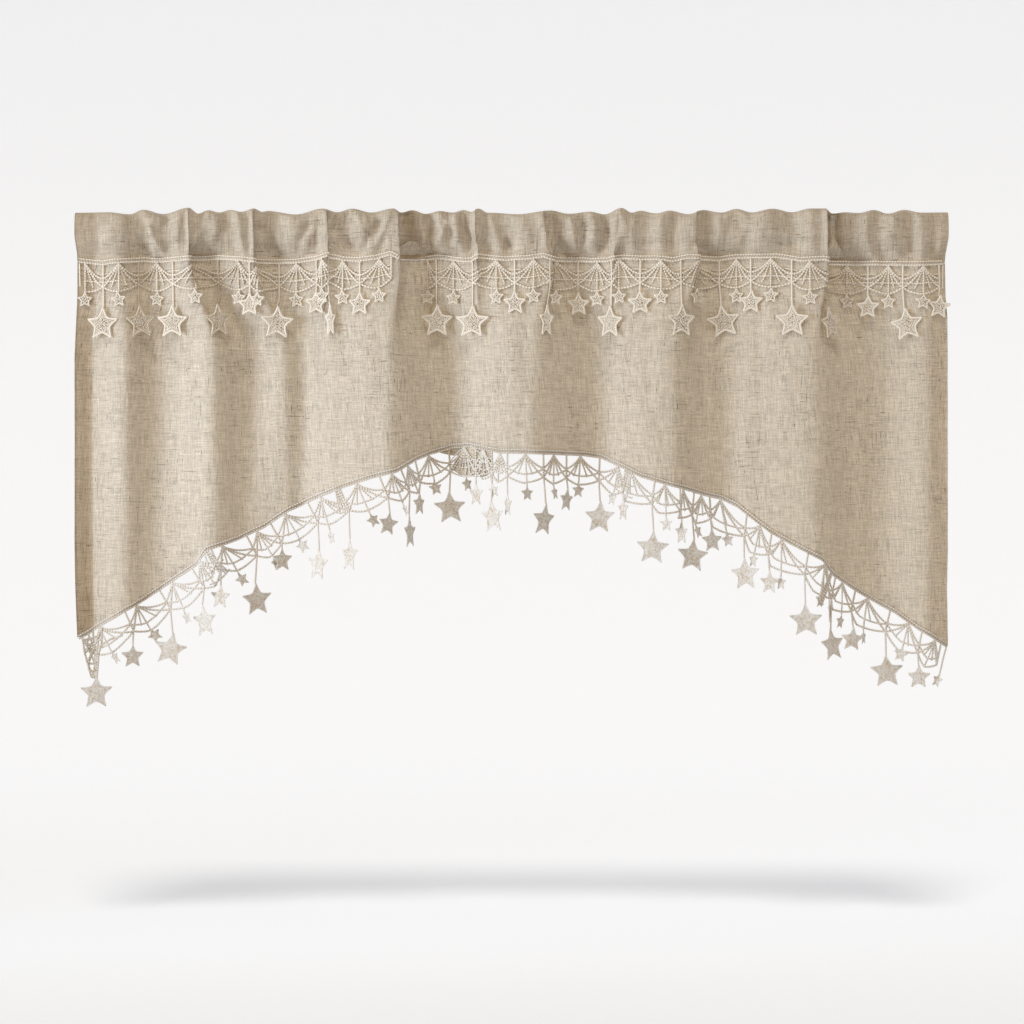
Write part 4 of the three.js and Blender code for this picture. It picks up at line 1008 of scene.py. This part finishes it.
def netting(form, place, rim, radius, shade, rng):
    """Crossing threads with knots within the cord, open between them."""
    span = int(radius / NET_STEP) + 2
    corner = place(np.array([[0, 0], [1, 0], [0, 1]]), 0.0)
    face = np.cross(corner[1] - corner[0], corner[2] - corner[0])
    t = np.arange(-radius, radius + 0.01, NET_ALONG)
    for angle in (math.radians(NET_SLANT), math.radians(-NET_SLANT)):
        d = np.array([math.cos(angle), math.sin(angle)])
        for k in range(-span, span + 1):
            flat = np.array([-d[1], d[0]]) * (k * NET_STEP) + t[:, None] * d
            held = inside(rim, flat[:, 0], flat[:, 1])
            edges = np.flatnonzero(np.diff(np.concatenate([[0], held.astype(int), [0]])))
            for start, stop in zip(edges[::2], edges[1::2]):
                if stop - start >= 3:
                    ends = place(flat[[start, stop - 1]], 0.0)
                    strand(form, ends, face, NET_THREAD, shade + 0.15, 4)
    knots = scatter(rim, 2 * span, rng, **NET_KNOTS)
    beads(form, place(knots, NET_KNOT_OFF), NET_KNOT_SIZE, shade * 0.5 - 0.1)


# A fan narrower than the first has no ray, bar or net. In one wider than the second the ray leans
# a little less.
NARROW_FAN, WIDE_FAN = 7.0, 14.0
# The ray starts this far down. The beads of the bar are flatter beyond a share of the width, and a
# short cross thread lies above it. The zigzag of the net turns once in a step.
RAY_FROM, BAR_SHARE, CROSS, CROSS_SHARE, MESH_STEP = 1.5, 0.77, 11.5, 0.66, 3.2


def fan(net, apex, web, apex_rib, web_rib, shade, bold=False):
    """Half a repeat between an apex and a web: two swags with net between them, rays, bar, scallop.
    A bold one, which hangs free, is of fewer and thicker threads."""
    width = math.hypot(web[0] - apex[0], web[1] - apex[1])

    def spot(share, reach):
        a, w = down_rib(apex, apex_rib, reach), down_rib(web, web_rib, reach)
        return (lerp(a[0], w[0], share), lerp(a[1], w[1], share))

    for name, knots in (
        ("swag", [spot(0, 0.5), spot(1, WEB_TOP)]), ("low_swag", [spot(0, 1.0), spot(1, WEB_KNOT)]),
        ("scallop", [spot(1, WEB_KNOT), spot(0, SCALLOP)]),
    ):
        thread, sag = (EDGE_LACE if bold else SEAM_LACE)[name]
        net.line(knots, thread, shade, sag)
    if width < NARROW_FAN:
        return
    if bold:
        net.line([spot(1, WEB_TOP + 1), spot(0, FAN_ARC)], EDGE_ARC, shade, 0.07)
        net.line([spot(0, RAY_FROM), spot(0.42, FAN_ARC + 0.5)], EDGE_RAY, shade)
        return
    share = 0.42 if width > WIDE_FAN else 0.45
    net.line([spot(0, RAY_FROM), spot(share, lerp(33, 24, share))], SEAM_RAY, shade)
    net.line([spot(BAR_SHARE, BAR), spot(0, BAR)], SEAM_BAR, shade)
    net.line([spot(1, BAR), spot(BAR_SHARE, BAR)], SEAM_BAR_END, shade)
    net.line([spot(1, CROSS), spot(CROSS_SHARE, CROSS)], SEAM_CROSS, shade)
    # A zigzag between the two swags is the net.
    turns = 2 * max(int(width / MESH_STEP), 2)
    zigzag = []
    for k in range(1, turns):
        share = k / turns
        upper_reach = lerp(0.5, WEB_TOP, share) + 0.08 * width * 4 * share * (1 - share)
        zigzag.append(spot(share, lerp(1.0, WEB_KNOT, share) if k % 2 else upper_reach))
    net.line(zigzag, SEAM_MESH, shade)


def braid(net, xs, level_of, shades):
    """Two beaded cords with a stitched chain between them."""
    # The shades run in the same order. The chain's darker shade is partly the linen that shows between the
    # cords and partly painted shade there.
    for (height, start, thread), shade in zip(BRAID, shades):
        net.path(np.stack([xs + start, level_of(xs + start) + height], 1), thread, shade)


# Upper lace
# The middle of the lace rests this far over the face of the cloth, more on the pocket's foot.
LACE_REST = 1.1
FOOT_END_FROM, FOOT_END = 56.0, 10.0


def upper_lift(x, level, off):
    """Lays lace on the heading's foot and the panel, off millimetres over its resting height."""
    off_foot = smooth((level - FOOT_END_FROM) / FOOT_END)
    return lift(x, level, lerp(TAIL_HALF + 1.0, LINEN_HALF + LACE_REST, off_foot) + off)


def upper_lace(material, star_material):
    form, stars = Form(), Form()
    rng = np.random.default_rng(11)
    net = Net(form, upper_lift)
    for x0, x1 in ((UPPER_ENDS[0], LACE_GAP[0]), (LACE_GAP[1], UPPER_ENDS[1])):
        xs = np.arange(x0, x1 - BRAID_STEP, BRAID_STEP)
        braid(net, xs, lambda x: np.full_like(x, BRAID_FOOT), (0.05, 0.05, 0.85))
    down = (0.0, 1.0)
    small = STARS["small"]
    for i, (apex, web, kind, swing, shade_w, shade_s, width) in enumerate(UPPER):
        a, w = (apex, BRAID_FOOT), (web, BRAID_FOOT)
        fan(net, a, w, down, down, (shade_s + shade_w) / 2)
        if i + 1 < len(UPPER):
            after, shade_after = UPPER[i + 1][0], UPPER[i + 1][5]
            if not web < sum(LACE_GAP) / 2 < after:
                fan(net, (after, BRAID_FOOT), w, down, down, (shade_after + shade_w) / 2)
        net.line([a, (apex, BRAID_FOOT + SCALLOP + 1)], SEAM_DROP, shade_s)
        lean = math.radians(swing)
        knot = down_rib(w, down, WEB_KNOT)
        size = STARS.get(kind)
        if size:
            hang = size["centre"] - size["radius"] - WEB_KNOT
            tip = (web + math.sin(lean) * hang * 0.6, knot[1] + hang + 1.5)
            net.line([w, knot, tip], SEAM_STAR, shade_w)
        else:
            net.line([w, knot], SEAM_WEB, shade_w)
        hang_star(stars, apex, small, rng.normal(0, 0.06), shade_s, rng)
        if size:
            x = tip[0] + math.sin(lean) * size["radius"]
            hang_star(stars, x, size, lean, shade_w, rng, width, i in INNER_STARS)
    for x, inward in ((UPPER_ENDS[0] + 1, 1), (UPPER_ENDS[1] - 1, -1)):
        net.line([(x, BRAID_FOOT), (x + inward, BRAID_FOOT + 30)], SEAM_END, 0.0)
    net.lay()
    return form.make("upper_lace_net", material), stars.make("upper_lace_stars", star_material)


# A star of this lace turns with the cloth across a span of its radius, by a share of how deep that
# is, and rests on the foremost cloth that is within a share of its radius.
TURN_SPAN, TURN_DEPTH, REST_SPAN, REST_NEAR, STAR_REST = 0.7, 0.45, 1.1, 0.9, 0.9


def hang_star(stars, x, size, lean, shade, rng, width=1.0, inner=False):
    """Rests a flat star on the folds behind it."""
    radius, level = size["radius"], BRAID_FOOT + size["centre"]
    half = radius * TURN_SPAN
    ends = panel_surface(np.array([x - half, x + half]), level)
    across = (ends[1] - ends[0]) * (1, TURN_DEPTH, 0)
    across /= np.linalg.norm(across)
    facing = np.array([across[1], -across[0], 0.0])
    centre = panel_surface(np.array([x]), level)[0]
    xs = np.linspace(x - radius * REST_SPAN, x + radius * REST_SPAN, 23)
    levels = np.linspace(level - radius, level + radius, 5)
    cloth = panel_surface(*np.meshgrid(xs, levels))
    near = np.abs((cloth - centre) @ across) < radius * REST_NEAR
    rise = ((cloth - centre) @ facing)[near].max()
    centre = centre + facing * (rise + LINEN_HALF + STAR_REST)
    up = (-math.sin(lean), 0, math.cos(lean))
    star(stars, centre, up, radius, shade, rng, facing=facing, inner=inner, width=width)


# Lower lace
RIB_REACH, RIGHT_RIB_SHARE = 55.0, 0.62
# A web leans toward its star by a share of their distance, up to a limit.
WEB_LEAN_SHARE, WEB_LEAN_MOST = 0.8, 10.0


def lower_lift(x, level, off):
    return lift(x, level, LINEN_HALF + LACE_REST + off)


def edge_foot(x):
    return edge_level(x) + EDGE_BRAID


def foot_point(x):
    return (x, float(edge_foot(x)))


def rib_at(x):
    """The way the lace hangs from the arched edge: square to it, but less so on the right."""
    left, right = max(x - RIB_REACH, -HALF_WIDTH), min(x + RIB_REACH, HALF_WIDTH)
    slope = (edge_level(right) - edge_level(left)) / (right - left) * (1.0 if x < 0 else RIGHT_RIB_SHARE)
    length = math.hypot(1, slope)
    return (-slope / length, 1 / length)


def lower_shade(share):
    """The painted shades of the table as they are drawn, closer together."""
    return lerp(0.32, 0.68, share)


def turn_by_shade(turn, shade):
    """Stars with a light painted shade face left, to the side light, and dark ones right."""
    return -abs(turn) if shade < 0.45 else abs(turn)


def lower_lace(material, star_material):
    form, stars = Form(), Form()
    rng = np.random.default_rng(23)
    net = Net(form, lower_lift)
    braid(net, np.arange(*LOWER_ENDS, BRAID_STEP), edge_foot, (0.3, 0.5, 0.8))
    for i, (apex, web, kind, sx, sl, turn, light_w, mx, ml, mturn, light_s) in enumerate(LOWER):
        shade_w, shade_s = lower_shade(light_w), lower_shade(light_s)
        a, w = foot_point(apex), foot_point(web)
        rib_a, rib_w = rib_at(apex), rib_at(web)
        to_star = (sx - down_rib(w, rib_w, WEB_KNOT)[0]) * WEB_LEAN_SHARE
        rib_w = (rib_w[0] + np.clip(to_star, -WEB_LEAN_MOST, WEB_LEAN_MOST) / WEB_KNOT, rib_w[1])
        fan(net, a, w, rib_a, rib_w, (shade_s + shade_w) / 2, True)
        if i + 1 < len(LOWER):
            after, shade_after = LOWER[i + 1][0], lower_shade(LOWER[i + 1][10])
            fan(net, foot_point(after), w, rib_at(after), rib_w, (shade_after + shade_w) / 2, True)
        end = down_rib(a, rib_a, SCALLOP)
        if mx is None:
            net.line([a, end], EDGE_DROP, shade_s)
        else:
            radius = STARS["small"]["radius"]
            free_star(net, stars, (mx, ml), radius, turn_by_shade(mturn, light_s), shade_s, rng, end, a)
        knot = down_rib(w, rib_w, WEB_KNOT)
        net.line([w, knot], EDGE_WEB, shade_w)
        start = foot_point(END_THREAD) if kind == "small" else None
        radius = STARS[kind]["radius"]
        free_star(net, stars, (sx, sl), radius, turn_by_shade(turn, light_w), shade_w, rng, knot, start)
    for x, level, radius, turn, shade in EDGE_ON_STARS:
        free_star(net, stars, (x, level), radius, turn, lower_shade(shade), rng, start=foot_point(x - 3))
    for x, width, reach, shade in CROWDS:
        crowd(net, x, width, reach, lower_shade(shade), rng)
    for x0, l0, x1, l1, sag in CROWN_THREADS:
        net.line([(x0, l0), (x1, l1)], CROWN, 0.15, sag)
    for k, (points, shade) in enumerate(CORNER):
        net.path(points, CORNER_CORD._replace(off=0.2 + 0.35 * (k % 4)), 0.4 + 0.5 * shade)
    net.lay()
    return form.make("lower_lace_net", material), stars.make("lower_lace_stars", star_material)


def crowd(net, x, width, reach, shade, rng):
    """Threads of the repeats that a fold hides, seen close together from their edge."""
    rib = rib_at(x)

    def spot(across, down):
        return down_rib(foot_point(x + across * width / 2), rib, down)

    def lay(knots, thread, sag):
        tone = shade + rng.uniform(-0.1, 0.2)
        net.line(knots, thread._replace(off=rng.uniform(0, 0.9)), tone, sag)

    for across in (-0.7, -0.1, 0.35, 0.8):
        low = spot(across * rng.uniform(0.6, 1.1), reach * rng.uniform(0.8, 1.0))
        lay([spot(across * 0.25, 0), low], CROWD_RAY, 0.04)
    for down in (0.45, 0.85):
        lay([spot(-1, reach * down), spot(1, reach * down * rng.uniform(0.9, 1.1))], CROWD_CROSS, 0.12)


# A free star leans by a share of how far it is beside its knot, and a little by chance. Its thread
# ends this far within its top point, and it hangs this far in front of the lace.
LEAN_SHARE, LEAN_CHANCE, TIP_WITHIN, STAR_FORWARD = 0.4, 0.06, 1.5, 0.4
# The painted shade of a free star's own plate runs between these.
STAR_PAINTED_SHADES = (0.325, 0.575)


def free_star(net, stars, centre, radius, turn, shade, rng, knot=None, start=None):
    """A star that hangs free of the cloth, its top point toward its knot, or toward the start of
    its own thread where one is given."""
    root = knot if start is None else start
    dx, dl = centre[0] - root[0], centre[1] - root[1]
    aside = dx if start is not None else LEAN_SHARE * dx
    lean = aside / math.hypot(dx, dl) + rng.normal(0, LEAN_CHANCE)
    up = (-lean, 0, math.sqrt(1 - min(lean * lean, 0.9)))
    reach = radius - TIP_WITHIN
    tip = (centre[0] + up[0] * reach, centre[1] - up[2] * reach)
    net.line([root, tip], EDGE_STAR, shade)
    place, _ = lower_lift(np.array([centre[0]]), np.array([tip[1]]), STAR_FORWARD)
    spot = np.array([place[0, 0], place[0, 1], -centre[1]])
    star(stars, spot, up, radius, lerp(*STAR_PAINTED_SHADES, shade), rng, turn=math.radians(turn), solid=True)


# Materials
LINEN_DARK, LINEN_LIGHT, SLUB = (0.53, 0.475, 0.385, 1), (1.0, 0.96, 0.885, 1), (0.22, 0.135, 0.065, 1)
# Painted shade: a tint for doubled cloth, which lets less light through, and a darker one for the left hem,
# the pocket's hems and the dips between the gathers. Last, the tint of the light that comes through from
# behind.
DOUBLED_PAINTED_SHADE, DEEPER_PAINTED_SHADE, LIT_THROUGH = (0.90, 0.78, 0.61, 1), (0.60, 0.52, 0.42, 1), (0.92, 0.77, 0.46, 1)
# Cream of the lace on the seam and of the lace on the edge, and the brown painted shade that stands for lace
# lying in the shade of the folds.
UPPER_CREAM_AND_PAINTED_SHADE = (0.94, 0.86, 0.745, 1), (0.64, 0.53, 0.39, 1)
LOWER_CREAM_AND_PAINTED_SHADE = (0.85, 0.825, 0.785, 1), (0.55, 0.425, 0.28, 1)


def feed(tree, socket, value):
    """Links a socket to another, or sets its value."""
    if hasattr(value, "links"):
        tree.links.new(value, socket)
    else:
        socket.default_value = value


def node(tree, kind, **inputs):
    """A node with the named inputs, underscores for spaces."""
    made = tree.nodes.new(kind)
    for name, value in inputs.items():
        feed(tree, made.inputs[name.replace("_", " ")], value)
    return made


def math_node(tree, operation, a, b, clamp=False):
    made = tree.nodes.new("ShaderNodeMath")
    made.operation, made.use_clamp = operation, clamp
    feed(tree, made.inputs[0], a)
    feed(tree, made.inputs[1], b)
    return made.outputs[0]


def added(tree, first, *others):
    for value in others:
        first = math_node(tree, "ADD", first, value)
    return first


def swing(tree, value, amount):
    """A noise as a move to both sides of nothing."""
    return math_node(tree, "MULTIPLY", math_node(tree, "SUBTRACT", value, 0.5), amount)


def mix_colour(tree, share, a, b, blend="MIX"):
    made = tree.nodes.new("ShaderNodeMix")
    made.data_type, made.blend_type = "RGBA", blend
    for socket, value in ((made.inputs[0], share), (made.inputs[6], a), (made.inputs[7], b)):
        feed(tree, socket, value)
    return made.outputs[2]


def tinted(tree, colour, tint):
    return mix_colour(tree, 1.0, colour, tint, "MULTIPLY")


def noise(tree, vector, stretch, detail=2.0, rough=0.55):
    """Noise from 0 to 1 with so many swings to a metre each way."""
    mapping = node(tree, "ShaderNodeMapping", Vector=vector, Scale=stretch)
    looks = dict(Scale=1.0, Detail=detail, Roughness=rough)
    return node(tree, "ShaderNodeTexNoise", Vector=mapping.outputs[0], **looks).outputs[0]


def ramp(tree, value, low, high, out_low=0.0, out_high=1.0):
    limits = dict(From_Min=low, From_Max=high, To_Min=out_low, To_Max=out_high)
    made = node(tree, "ShaderNodeMapRange", Value=value, **limits)
    made.clamp = True
    return made.outputs[0]


def attribute(tree, name):
    made = tree.nodes.new("ShaderNodeAttribute")
    made.attribute_name = name
    return made


def empty_material(name):
    mat = bpy.data.materials.new(name)
    mat.use_nodes = True
    mat.node_tree.nodes.clear()
    return mat, mat.node_tree


def surface(tree, body, through, share):
    """Mixes a surface with the light that comes through it, and makes that the material."""
    mix = tree.nodes.new("ShaderNodeMixShader")
    for socket, value in zip(mix.inputs, (share, body.outputs[0], through.outputs[0])):
        feed(tree, socket, value)
    node(tree, "ShaderNodeOutputMaterial", Surface=mix.outputs[0])


def slubs(tree, cloth, stretch, loose, limits, most=1.0):
    """Dark dashes along one way of the cloth, denser where the cloth is looser."""
    dashes = noise(tree, cloth, stretch, 1.0, 0.4)
    return ramp(tree, added(tree, dashes, loose), *limits, 0.0, most)


def linen_material():
    mat, tree = empty_material("linen_weave")
    cloth = attribute(tree, "cloth").outputs["Vector"]
    # The shade attribute counts layers of cloth, which also set how much light comes through, and carries
    # painted shade over 1.
    layers_and_painted_shade = attribute(tree, "shade").outputs["Fac"]
    # Yarns run up and across the cloth, each a little thicker, thinner, lighter or darker.
    tone = added(
        tree,
        swing(tree, noise(tree, cloth, (600.0, 44.0, 0.0), 3.0, 0.65), 1.35),
        swing(tree, noise(tree, cloth, (54.0, 620.0, 0.0), 3.0, 0.65), 1.2),
        swing(tree, noise(tree, cloth, (170.0, 5.0, 0.0)), 0.26),
        swing(tree, noise(tree, cloth, (6.0, 180.0, 0.0)), 0.26),
        swing(tree, noise(tree, cloth, (760.0, 760.0, 0.0), 2.0, 0.7), 1.3),
    )
    # Dark slubs, short and long dashes both ways, in looser and denser areas.
    loose = ramp(tree, noise(tree, cloth, (14.0, 9.0, 0.0), 1.0), 0.35, 0.65, -0.035, 0.035)
    short, long = (0.70, 0.78), (0.68, 0.77)
    dashes = slubs(tree, cloth, (640.0, 88.0, 0.0), loose, short)
    for stretch, limits, most in (
        ((80.0, 660.0, 0.0), short, 1.0), ((560.0, 30.0, 0.0), long, 0.6), ((28.0, 580.0, 0.0), long, 0.6),
    ):
        dashes = math_node(tree, "MAXIMUM", dashes, slubs(tree, cloth, stretch, loose, limits, most))
    dashes = math_node(tree, "MULTIPLY", dashes, 0.7)
    base = mix_colour(tree, math_node(tree, "ADD", tone, 0.5, True), LINEN_DARK, LINEN_LIGHT)
    base = mix_colour(tree, dashes, base, SLUB)
    # Painted shade: doubled cloth is tinted darker, as less light comes through it, and the left hem, the
    # pocket's hems and the dips between the gathers darker still.
    doubled_shade_share = math_node(tree, "MULTIPLY", layers_and_painted_shade, 0.5, True)
    colour = mix_colour(tree, doubled_shade_share, base, tinted(tree, base, DOUBLED_PAINTED_SHADE))
    colour = mix_colour(tree, ramp(tree, layers_and_painted_shade, 1.0, 2.0), colour, tinted(tree, colour, DEEPER_PAINTED_SHADE))
    height = added(tree, tone, dashes)
    bump = node(tree, "ShaderNodeBump", Strength=0.55, Distance=0.0005, Height=height).outputs[0]
    looks = dict(Roughness=0.92, Specular_IOR_Level=0.15, Sheen_Weight=0.15, Sheen_Roughness=0.6)
    body = node(tree, "ShaderNodeBsdfPrincipled", Base_Color=colour, Normal=bump, **looks)
    lit = tinted(tree, colour, LIT_THROUGH)
    through = node(tree, "ShaderNodeBsdfTranslucent", Color=lit, Normal=bump)
    surface(tree, body, through, ramp(tree, layers_and_painted_shade, 0.0, 1.0, 0.42, 0.32))
    return mat


def lace_material(name, light, dark, mottled=False):
    """Thread from cream to a brown painted shade by its shade. The stars are mottled."""
    mat, tree = empty_material(name)
    place = tree.nodes.new("ShaderNodeTexCoord").outputs["Object"]
    shade = attribute(tree, "shade").outputs["Fac"]
    fine = noise(tree, place, (700.0, 700.0, 700.0), 3.0, 0.65)
    patch = noise(tree, place, (260.0, 260.0, 260.0), 2.0, 0.5)
    broad = noise(tree, place, (30.0, 30.0, 30.0), 1.0)
    uneven = added(
        tree,
        swing(tree, fine, 1.6 if mottled else 0.5),
        swing(tree, patch, 1.3 if mottled else 0.5),
        swing(tree, broad, 0.5),
    )
    # The shade attribute mixes the cream with the brown painted shade, with uneven tone on top.
    share = math_node(tree, "ADD", math_node(tree, "MULTIPLY", shade, 0.85), uneven, True)
    base = mix_colour(tree, share, light, dark)
    bump = node(tree, "ShaderNodeBump", Strength=0.5, Distance=0.0004, Height=fine).outputs[0]
    looks = dict(Roughness=0.75, Specular_IOR_Level=0.25, Sheen_Weight=0.2)
    body = node(tree, "ShaderNodeBsdfPrincipled", Base_Color=base, Normal=bump, **looks)
    surface(tree, body, node(tree, "ShaderNodeBsdfTranslucent", Color=base), 0.15)
    return mat


# Stage, in metres
FLOOR = -0.889
# The floor runs back from its front edge, then up in a bend to the top of the backdrop.
FLOOR_FRONT, BEND_FROM, BEND_RADIUS, BACKDROP_TOP, BACKDROP_HALF = -5.0, 2.0, 2.2, 6.0, 9.0
BEND_PARTS = 16
BACKDROP_LOOKS = {
    "Base Color": (0.684, 0.706, 0.752, 1), "Emission Color": (1, 1, 1, 1), "Emission Strength": 0.345,
    "Roughness": 1.0, "Specular IOR Level": 0.0,
}
# Lights: kind, power, place, target, size in degrees of the sun or metres of the spot, colour.
LIGHTS = {
    "key": ("SUN", 1.3, (-0.11, -1.1, 1.9), (0, 0, 0), 16, (1.0, 0.935, 0.84)),
    "side": ("SPOT", 150.0, (-2.1, -0.92, -0.26), (0, 0, -0.29), 0.45, (0.89, 1.0, 1.15)),
}
SPOT_ANGLE, SPOT_BLEND = 32, 0.3
SKY, SKY_STRENGTH = (1.0, 0.945, 0.87, 1), 0.34
CAMERA_PLACE, CAMERA_LENS, CAMERA_SENSOR = (0.0, -3.556, -0.374), 100.0, 36.0


def backdrop():
    line = [(FLOOR_FRONT, FLOOR), (BEND_FROM, FLOOR)]
    for k in range(1, BEND_PARTS + 1):
        angle = math.pi / 2 * k / BEND_PARTS
        back, up = BEND_RADIUS * math.sin(angle), BEND_RADIUS * (1 - math.cos(angle))
        line.append((BEND_FROM + back, FLOOR + up))
    line.append((BEND_FROM + BEND_RADIUS, BACKDROP_TOP))
    verts = [(x, y, z) for y, z in line for x in (-BACKDROP_HALF, BACKDROP_HALF)]
    faces = [(2 * i, 2 * i + 1, 2 * i + 3, 2 * i + 2) for i in range(len(line) - 1)]
    mesh = bpy.data.meshes.new("backdrop")
    mesh.from_pydata(verts, [], faces)
    mesh.polygons.foreach_set("use_smooth", np.ones(len(faces), bool))
    mat = bpy.data.materials.new("backdrop_white")
    mat.use_nodes = True
    for name, value in BACKDROP_LOOKS.items():
        mat.node_tree.nodes["Principled BSDF"].inputs[name].default_value = value
    mesh.materials.append(mat)
    add_object("backdrop", mesh)


def light(name, kind, energy, location, target, size, colour):
    data = bpy.data.lights.new(name, kind)
    data.energy, data.color = energy, colour
    if kind == "SUN":
        data.angle = math.radians(size)
    else:
        data.shadow_soft_size, data.spot_size, data.spot_blend = size, math.radians(SPOT_ANGLE), SPOT_BLEND
    obj = add_object(name, data)
    obj.location = location
    obj.rotation_euler = (Vector(target) - Vector(location)).to_track_quat("-Z", "Y").to_euler()


def studio():
    scene = bpy.context.scene
    scene.view_settings.view_transform = "Standard"
    scene.world = bpy.data.worlds.new("studio")
    scene.world.use_nodes = True
    sky = scene.world.node_tree.nodes["Background"]
    sky.inputs["Color"].default_value = SKY
    sky.inputs["Strength"].default_value = SKY_STRENGTH
    for name, row in LIGHTS.items():
        light(name, *row)
    camera = bpy.data.cameras.new("camera")
    camera.lens, camera.sensor_width = CAMERA_LENS, CAMERA_SENSOR
    scene.camera = add_object("camera", camera)
    scene.camera.location = CAMERA_PLACE
    scene.camera.rotation_euler = (math.radians(90), 0, 0)


# Build
linen = linen_material()
backdrop()
studio()

panel = linen_panel(linen)
pocket = rod_pocket(linen)
upper_net, upper_stars = upper_lace(lace_material("seam_thread", *UPPER_CREAM_AND_PAINTED_SHADE),
                                    lace_material("seam_star", *UPPER_CREAM_AND_PAINTED_SHADE, mottled=True))
lower_net, lower_stars = lower_lace(lace_material("edge_thread", *LOWER_CREAM_AND_PAINTED_SHADE),
                                    lace_material("edge_star", *LOWER_CREAM_AND_PAINTED_SHADE, mottled=True))

for piece, cad_node, slot_name in (
    (panel, "linen_panel", "linen"), (pocket, "rod_pocket", "linen"),
    (upper_net, "upper_lace", "lace"), (upper_stars, "upper_lace", "lace"),
    (lower_net, "lower_lace", "lace"), (lower_stars, "lower_lace", "lace"),
):
    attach(piece, "root")
    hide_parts(cad_node)
